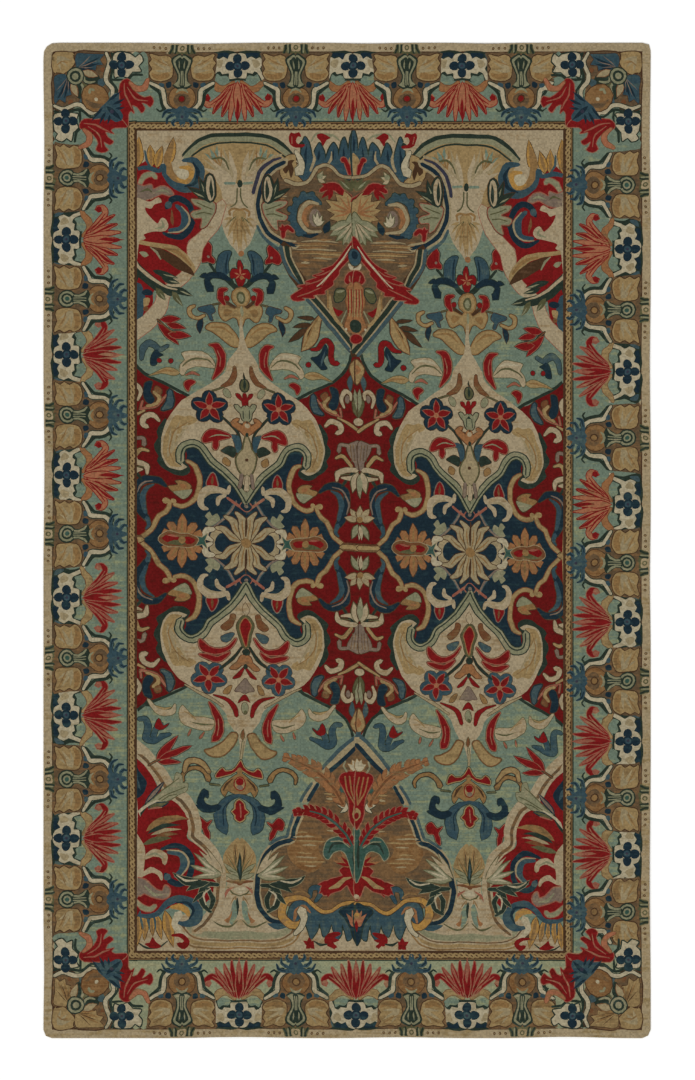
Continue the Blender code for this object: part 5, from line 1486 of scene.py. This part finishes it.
def wobbled(outline):
    """An outline with the small unevenness of hand work: 1 to 2 mm of three crossing sine waves, 5 to
    13 cm long, kept inside the fold of the hem."""
    x, y = outline.T
    shift_x = 0.10 * np.sin(0.62 * y + 0.31 * x) + 0.07 * np.sin(1.27 * y - 0.48 * x + 1.1)
    shift_y = 0.10 * np.sin(0.57 * x - 0.36 * y + 0.7) + 0.07 * np.sin(1.21 * x + 0.55 * y + 2.3)
    limit = np.array([WIDTH / 2, LENGTH / 2]) / CM - FOLD_CLEARANCE
    return np.clip(np.column_stack([x + shift_x, y + shift_y]), -limit, limit)


def hump(distance, width):
    """A smooth hump: 1 at no distance, falling by a cosine to 0 at half its width."""
    return 0.5 + 0.5 * np.cos(math.pi * np.minimum(np.abs(distance) / (width / 2), 1))


def ripples(x, y):
    """The lift of the canvas off the floor at each point, and its shift where a ripple draws it in."""
    sides = {
        "left": (WIDTH / 2 + x, y, 1, 0),
        "right": (WIDTH / 2 - x, y, -1, 0),
        "top": (LENGTH / 2 - y, x, 0, -1),
        "bottom": (LENGTH / 2 + y, x, 0, 1),
    }
    lift = np.zeros_like(x)
    shift = np.zeros((2, len(x)))
    for side, at, length, reach, height, draw_in in EDGE_RIPPLES:
        inward, along, to_x, to_y = sides[side]
        share = hump(inward, 2 * reach) * hump(along - at, length)
        lift = np.maximum(lift, height * share)
        shift[0] += to_x * draw_in * share
        shift[1] += to_y * draw_in * share
    return lift, shift


def thickness(x, y):
    """The canvas alone in the field, with a soft step (3 t ** 2 - 2 t ** 3) up to the doubled hem."""
    inward = np.minimum(WIDTH / 2 - np.abs(x), LENGTH / 2 - np.abs(y))
    t = np.clip((HEM_WIDTH + HEM_SLOPE - inward) / HEM_SLOPE, 0, 1)
    return FIELD_THICKNESS + HEM_RISE * t * t * (3 - 2 * t)


def with_round_corners(x, y):
    """Points of the square-cornered sheet, with those past a corner's centre pulled in to its arc."""
    radius = np.zeros_like(x)
    for (side, end), size in CORNER_RADII.items():
        here = ((x < 0) == (side == "left")) & ((y < 0) == (end == "bottom"))
        radius[here] = size
    over = np.maximum(np.abs((x, y)) - (WIDTH / 2 - radius, LENGTH / 2 - radius), 0)
    corner = (over > 0).all(axis=0)
    scale = np.where(corner, over.max(axis=0) / np.maximum(np.hypot(*over), 1e-9), 1)
    pull = over * (1 - scale)
    return x - np.sign(x) * pull[0], y - np.sign(y) * pull[1]


def laid_out(flat, above):
    """Points of the flat square sheet, in space: above is how high they are over its underside."""
    x, y = flat.T
    lift, shift = ripples(x, y)
    x, y = with_round_corners(x, y)
    return np.column_stack([x + shift[0], y + shift[1], lift + above])


def rectangle(half_x, half_y, step):
    """Points round a rectangle, counterclockwise, about a step apart."""
    corners = np.array([(-half_x, -half_y), (half_x, -half_y), (half_x, half_y), (-half_x, half_y)])
    stretches = []
    for start, end in zip(corners, np.roll(corners, -1, axis=0)):
        count = round(np.hypot(*(end - start)) / step)
        stretches.append(start + np.arange(count)[:, None] / count * (end - start))
    return np.vstack(stretches)


def lattice(half_x, half_y, step):
    """Points of a square lattice that fills a rectangle."""
    x = np.linspace(-half_x, half_x, round(2 * half_x / step) + 1)
    y = np.linspace(-half_y, half_y, round(2 * half_y / step) + 1)
    return np.array(np.meshgrid(x, y)).reshape(2, -1).T


# How far to each side of an outline its two wools are looked up, in metres, and how far a point may
# lie from the line between its neighbours to be left out, in centimetres.
SEAM_HAIR = 0.0001
SEAM_SLACK = 0.10


def thinned(outline):
    """An outline without the points that lie within the slack of the line between their neighbours, every
    other point looked at, twice over."""
    for _ in range(2):
        before, after = np.roll(outline, 1, axis=0), np.roll(outline, -1, axis=0)
        chord = after - before
        offset = np.abs(chord[:, 0] * (outline - before)[:, 1] - chord[:, 1] * (outline - before)[:, 0])
        straight = offset < SEAM_SLACK * np.maximum(np.hypot(*chord.T), 1e-6)
        outline = outline[~(straight & (np.arange(len(outline)) % 2 == 1))]
    return outline


def inside(outline, points):
    """Whether an outline winds round each point."""
    x, y = points.T[:, :, None]
    x0, y0 = outline.T
    x1, y1 = np.roll(outline, -1, axis=0).T
    left_of = (x1 - x0) * (y - y0) - (x - x0) * (y1 - y0)
    upward = (y0 <= y) & (y1 > y) & (left_of > 0)
    downward = (y0 > y) & (y1 <= y) & (left_of < 0)
    return upward.sum(axis=1) != downward.sum(axis=1)


def topmost(shapes, points):
    """For each point, the number of the yarn of the last shape that holds it."""
    names = list(YARNS)
    wool = np.full(len(points), names.index("band"))
    order = np.argsort(points[:, 1])
    heights = points[order, 1]
    for yarn, outline in shapes:
        low, high = outline.min(axis=0), outline.max(axis=0)
        near = order[np.searchsorted(heights, low[1]):np.searchsorted(heights, high[1])]
        near = near[(points[near, 0] > low[0]) & (points[near, 0] < high[0])]
        if len(near):
            wool[near[inside(outline, points[near])]] = names.index(yarn)
    return wool


def seams(shapes):
    """The stretches of all the outlines along which one wool meets another, as pairs of points: each
    stretch has a different wool a hair to its left and to its right."""
    start = np.vstack([outline for _, outline in shapes])
    end = np.vstack([np.roll(outline, -1, axis=0) for _, outline in shapes])
    along = (end - start) / np.maximum(np.hypot(*(end - start).T), 1e-9)[:, None]
    hair = SEAM_HAIR * np.column_stack([-along[:, 1], along[:, 0]])
    middle = (start + end) / 2
    left, right = topmost(shapes, np.vstack([middle + hair, middle - hair])).reshape(2, -1)
    return np.vstack([start[left != right], end[left != right]])


def cut_sheet(loop, rings, pairs, points):
    """A flat sheet inside its loop, cut into triangles along closed rings and between paired points, and
    through loose points. The pairs are all the first points and then all the second ones. Gives the
    sheet's points, the loop's first, and its triangles."""
    all_edges = []
    first = 0
    for ring in [loop] + rings:
        number = first + np.arange(len(ring))
        all_edges += np.column_stack([number, np.roll(number, -1)]).tolist()
        first += len(ring)
    all_edges += (first + np.arange(len(pairs)).reshape(2, -1).T).tolist()
    flat = np.vstack([loop] + rings + [pairs, points])
    made = delaunay_2d_cdt([Vector(point) for point in flat.tolist()], all_edges, [], 0, 1e-6)
    corners = np.array([tuple(corner) for corner in made[0]])
    triangles = np.array(made[2])
    place = np.full(len(flat), -1)
    for new, old in enumerate(made[3]):
        place[list(old)] = new
    loop_first = place[:len(loop)]
    rest = np.setdiff1d(np.arange(len(corners)), loop_first)
    order = np.concatenate([loop_first, rest])
    number = np.empty(len(order), dtype=int)
    number[order] = np.arange(len(order))
    return corners[order], number[triangles]


def rug_mesh(shapes):
    """The rug's closed surface: its right side cut along the pattern, the rounded fold of its hem, and
    its underside."""
    half_x = WIDTH / 2 - FOLD_RADIUS
    half_y = LENGTH / 2 - FOLD_RADIUS
    loop = rectangle(half_x, half_y, LOOP_STEP)
    shapes = [(yarn, thinned(outline) * CM) for yarn, outline in shapes]
    rim = [rectangle(WIDTH / 2 - line, LENGTH / 2 - line, LOOP_STEP) for line in RIM_LINES]
    inner = lattice(half_x - BACK_STEP, half_y - BACK_STEP, BACK_STEP)
    flat, triangles = cut_sheet(loop, rim, seams(shapes), inner)
    points = [laid_out(flat, thickness(*flat.T))]
    faces = [triangles]
    wool = [topmost(shapes, flat[triangles].mean(axis=1))]
    ring = np.arange(len(loop))
    first = len(flat)
    full = thickness(np.array([WIDTH / 2]), np.array([0.0]))[0]
    fold = []
    for degrees in FOLD_ANGLES:
        angle = math.radians(degrees)
        fold.append((math.sin(angle), full - FOLD_RADIUS * (1 - math.cos(angle))))
    fold += [(out, full - height) for out, height in reversed(fold)]
    back, back_triangles = cut_sheet(loop, [], np.empty((0, 2)), inner)
    for number, (out, height) in enumerate(fold + [(0, 0)]):
        if number < len(fold):
            grown = loop * (1 + FOLD_RADIUS * out / np.array([half_x, half_y]))
            points.append(laid_out(grown, np.full(len(loop), height)))
        else:
            points.append(laid_out(back, np.zeros(len(back))))
        below = first + np.arange(len(loop))
        faces.append(np.column_stack([ring, below, np.roll(below, -1)]))
        faces.append(np.column_stack([ring, np.roll(below, -1), np.roll(ring, -1)]))
        wool += [np.full(2 * len(loop), list(YARNS).index("band"))]
        ring = below
        first += len(loop)
    faces.append(back_triangles[:, ::-1] + first - len(loop))
    wool.append(np.full(len(back_triangles), list(YARNS).index("canvas")))
    mesh = bpy.data.meshes.new("needlepoint_rug_worked")
    mesh.from_pydata(np.vstack(points), [], np.vstack(faces))
    mesh.polygons.foreach_set("material_index", np.concatenate(wool).astype(np.int32))
    mesh.polygons.foreach_set("use_smooth", np.ones(len(mesh.polygons), dtype=bool))
    mesh.update()
    return mesh


# A worked stitch is drawn at twice its real size, 2.3 mm, so that it shows in the picture.
STITCH = 0.0046
BEAD_HEIGHT = 0.0008
BEAD_STRENGTH = 0.5
GRAIN = 0.34
WOOL_ROUGHNESS = 0.95
WOOL_SPECULAR = 0.06

# How fast each kind of wear changes across and along the rug, in turns for each metre, and its share.
ROW_STREAK = (5.0, 120.0, 1.0)
MOTTLE = (55.0, 55.0, 1.0)
PATCH = (12.0, 12.0, 1.0)
STREAK_SHARE = 0.38
MOTTLE_SHARE = 0.34
PATCH_SHARE = 0.28
FOOT_WEAR = 0.02
WEAR_STARTS = 0.60
WEAR_FULL = 0.76
WEAR_SPREAD = 0.26

FLOOR_SIZE = 14
FLOOR_DROP = 0.0005
SKY_STRENGTH = 0.70
LIGHT_STRENGTH = 1.5
LIGHT_SPREAD = math.radians(30)
LIGHT_TURN = (math.radians(24), math.radians(-18), 0)


def linear(code):
    """An sRGB hex colour as linear red, green, blue and alpha."""
    parts = [int(code[i:i + 2], 16) / 255 for i in (1, 3, 5)]
    return [part / 12.92 if part <= 0.04045 else ((part + 0.055) / 1.055) ** 2.4 for part in parts] + [1.0]


def add_node(tree, kind, settings=None, **inputs):
    """Adds a node, gives its settings and fills its inputs with values or other nodes' outputs. An input
    is named, with _ for a space, or numbered, as _0 is."""
    node = tree.nodes.new(kind)
    for name, value in (settings or {}).items():
        setattr(node, name, value)
    for name, value in inputs.items():
        if name.startswith("_"):
            socket = node.inputs[int(name[1:])]
        else:
            socket = node.inputs[name.replace("_", " ")]
        if isinstance(value, bpy.types.NodeSocket):
            tree.links.new(value, socket)
        else:
            socket.default_value = value
    return node


def math_node(tree, operation, *values):
    """The output of a math node over its values."""
    return add_node(tree, "ShaderNodeMath", {"operation": operation},
                    **{f"_{i}": value for i, value in enumerate(values)}).outputs[0]


def noise(tree, place, stretch, detail=2.0):
    """Soft noise over places stretched by three factors, from 0 to 1."""
    spread = add_node(tree, "ShaderNodeVectorMath", {"operation": "MULTIPLY"}, _0=place, _1=stretch)
    return add_node(tree, "ShaderNodeTexNoise", Vector=spread.outputs[0], Scale=1.0,
                    Detail=detail).outputs["Fac"]


def dyed_wool(name, colour, worn, share):
    """Dyed wool worked in small stitches: its colour turns to the worn one in streaks along the rows, as
    a new dye lot or a rubbed row does, and in mottles of 2 and 8 cm, more so towards the foot of the
    rug. Each stitch is a little lighter or darker than the next and stands up as a small bead."""
    material = bpy.data.materials.new(name)
    material.use_nodes = True
    tree = material.node_tree
    shader = tree.nodes["Principled BSDF"]
    place = add_node(tree, "ShaderNodeTexCoord").outputs["Object"]
    streaks = noise(tree, place, ROW_STREAK)
    mottle = noise(tree, place, MOTTLE, 3.0)
    patches = noise(tree, place, PATCH)
    streaked = math_node(tree, "MULTIPLY", streaks, STREAK_SHARE)
    mottled = math_node(tree, "MULTIPLY", mottle, MOTTLE_SHARE)
    mixed = math_node(tree, "ADD", streaked, mottled)
    mixed = math_node(tree, "MULTIPLY_ADD", patches, PATCH_SHARE, mixed)
    height = add_node(tree, "ShaderNodeSeparateXYZ", Vector=place).outputs["Y"]
    mixed = math_node(tree, "MULTIPLY_ADD", height, -FOOT_WEAR, mixed)
    amount = add_node(tree, "ShaderNodeMapRange", {"interpolation_type": "SMOOTHSTEP"}, Value=mixed,
                      From_Min=WEAR_STARTS - WEAR_SPREAD * share, From_Max=WEAR_FULL - WEAR_SPREAD * share)
    wool = add_node(tree, "ShaderNodeMix", {"data_type": "RGBA"}, _0=amount.outputs[0], _6=linear(colour),
                    _7=linear(worn))
    cell = add_node(tree, "ShaderNodeVectorMath", {"operation": "SNAP"}, _0=place, _1=(STITCH, STITCH, 1.0))
    grain = add_node(tree, "ShaderNodeTexWhiteNoise", {"noise_dimensions": "3D"},
                     Vector=cell.outputs[0]).outputs["Value"]
    shade = add_node(tree, "ShaderNodeHueSaturation", Color=wool.outputs[2],
                     Value=math_node(tree, "MULTIPLY_ADD", grain, GRAIN, 1 - GRAIN / 2))
    tree.links.new(shade.outputs[0], shader.inputs["Base Color"])
    shader.inputs["Roughness"].default_value = WOOL_ROUGHNESS
    shader.inputs["Specular IOR Level"].default_value = WOOL_SPECULAR
    waves = add_node(tree, "ShaderNodeVectorMath", {"operation": "MULTIPLY"}, _0=place,
                     _1=(math.pi / STITCH, math.pi / STITCH, 0.0))
    parts = add_node(tree, "ShaderNodeSeparateXYZ", Vector=waves.outputs[0])
    across = math_node(tree, "ABSOLUTE", math_node(tree, "SINE", parts.outputs["X"]))
    along = math_node(tree, "ABSOLUTE", math_node(tree, "SINE", parts.outputs["Y"]))
    bead = math_node(tree, "MULTIPLY", across, along)
    bump = add_node(tree, "ShaderNodeBump", Strength=BEAD_STRENGTH, Distance=BEAD_HEIGHT, Height=bead)
    tree.links.new(bump.outputs[0], shader.inputs["Normal"])
    return material


def plain_floor():
    """A pale studio floor, just under the rug."""
    bpy.ops.mesh.primitive_plane_add(size=FLOOR_SIZE, location=(0, 0, -FLOOR_DROP))
    floor = bpy.context.object
    floor.name = "studio_floor"
    material = bpy.data.materials.new("pale studio paper")
    material.use_nodes = True
    shader = material.node_tree.nodes["Principled BSDF"]
    shader.inputs["Base Color"].default_value = linear("#fbfbfa")
    shader.inputs["Roughness"].default_value = 0.95
    floor.data.materials.append(material)
    return floor


def studio():
    """Even soft light from the sky and a broad light from the upper left, and no tone curve, so that
    each wool shows its own colour."""
    scene = bpy.context.scene
    world = bpy.data.worlds.new("soft studio sky")
    world.use_nodes = True
    background = world.node_tree.nodes["Background"]
    background.inputs["Color"].default_value = (1.0, 1.0, 1.0, 1.0)
    background.inputs["Strength"].default_value = SKY_STRENGTH
    scene.world = world
    light = bpy.data.lights.new("broad studio light", "SUN")
    light.energy = LIGHT_STRENGTH
    light.angle = LIGHT_SPREAD
    lamp = bpy.data.objects.new("broad studio light", light)
    lamp.rotation_euler = LIGHT_TURN
    scene.collection.objects.link(lamp)
    scene.view_settings.view_transform = "Standard"


# What the picture shows from top to bottom, how far up the camera is and where it aims, in metres.
FRAME_HEIGHT = 3.256
CAMERA_HEIGHT = 14.0
CAMERA_AIM = (0.0015, 0.0015)


def camera_above():
    """A camera straight over the rug, far up with a long lens, so that the rug shows square."""
    data = bpy.data.cameras.new("camera")
    data.sensor_fit = "VERTICAL"
    data.angle = 2 * math.atan(FRAME_HEIGHT / 2 / CAMERA_HEIGHT)
    data.clip_end = 60
    camera = bpy.data.objects.new("camera", data)
    camera.location = (*CAMERA_AIM, CAMERA_HEIGHT)
    bpy.context.scene.collection.objects.link(camera)
    bpy.context.scene.camera = camera


def main():
    """The camera, the studio and the rug."""
    camera_above()
    studio()
    plain_floor()
    rug = bpy.data.objects.new("worked_rug", rug_mesh([(yarn, wobbled(outline)) for yarn,
                                                       outline in pattern()]))
    bpy.context.scene.collection.objects.link(rug)
    for yarn, (colour, worn, share) in YARNS.items():
        rug.data.materials.append(dyed_wool(f"dyed wool, {yarn}", colour, worn, share))
    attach(rug, "root")
    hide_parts("needlepoint_rug")


main()

bpy.context.view_layer.update()
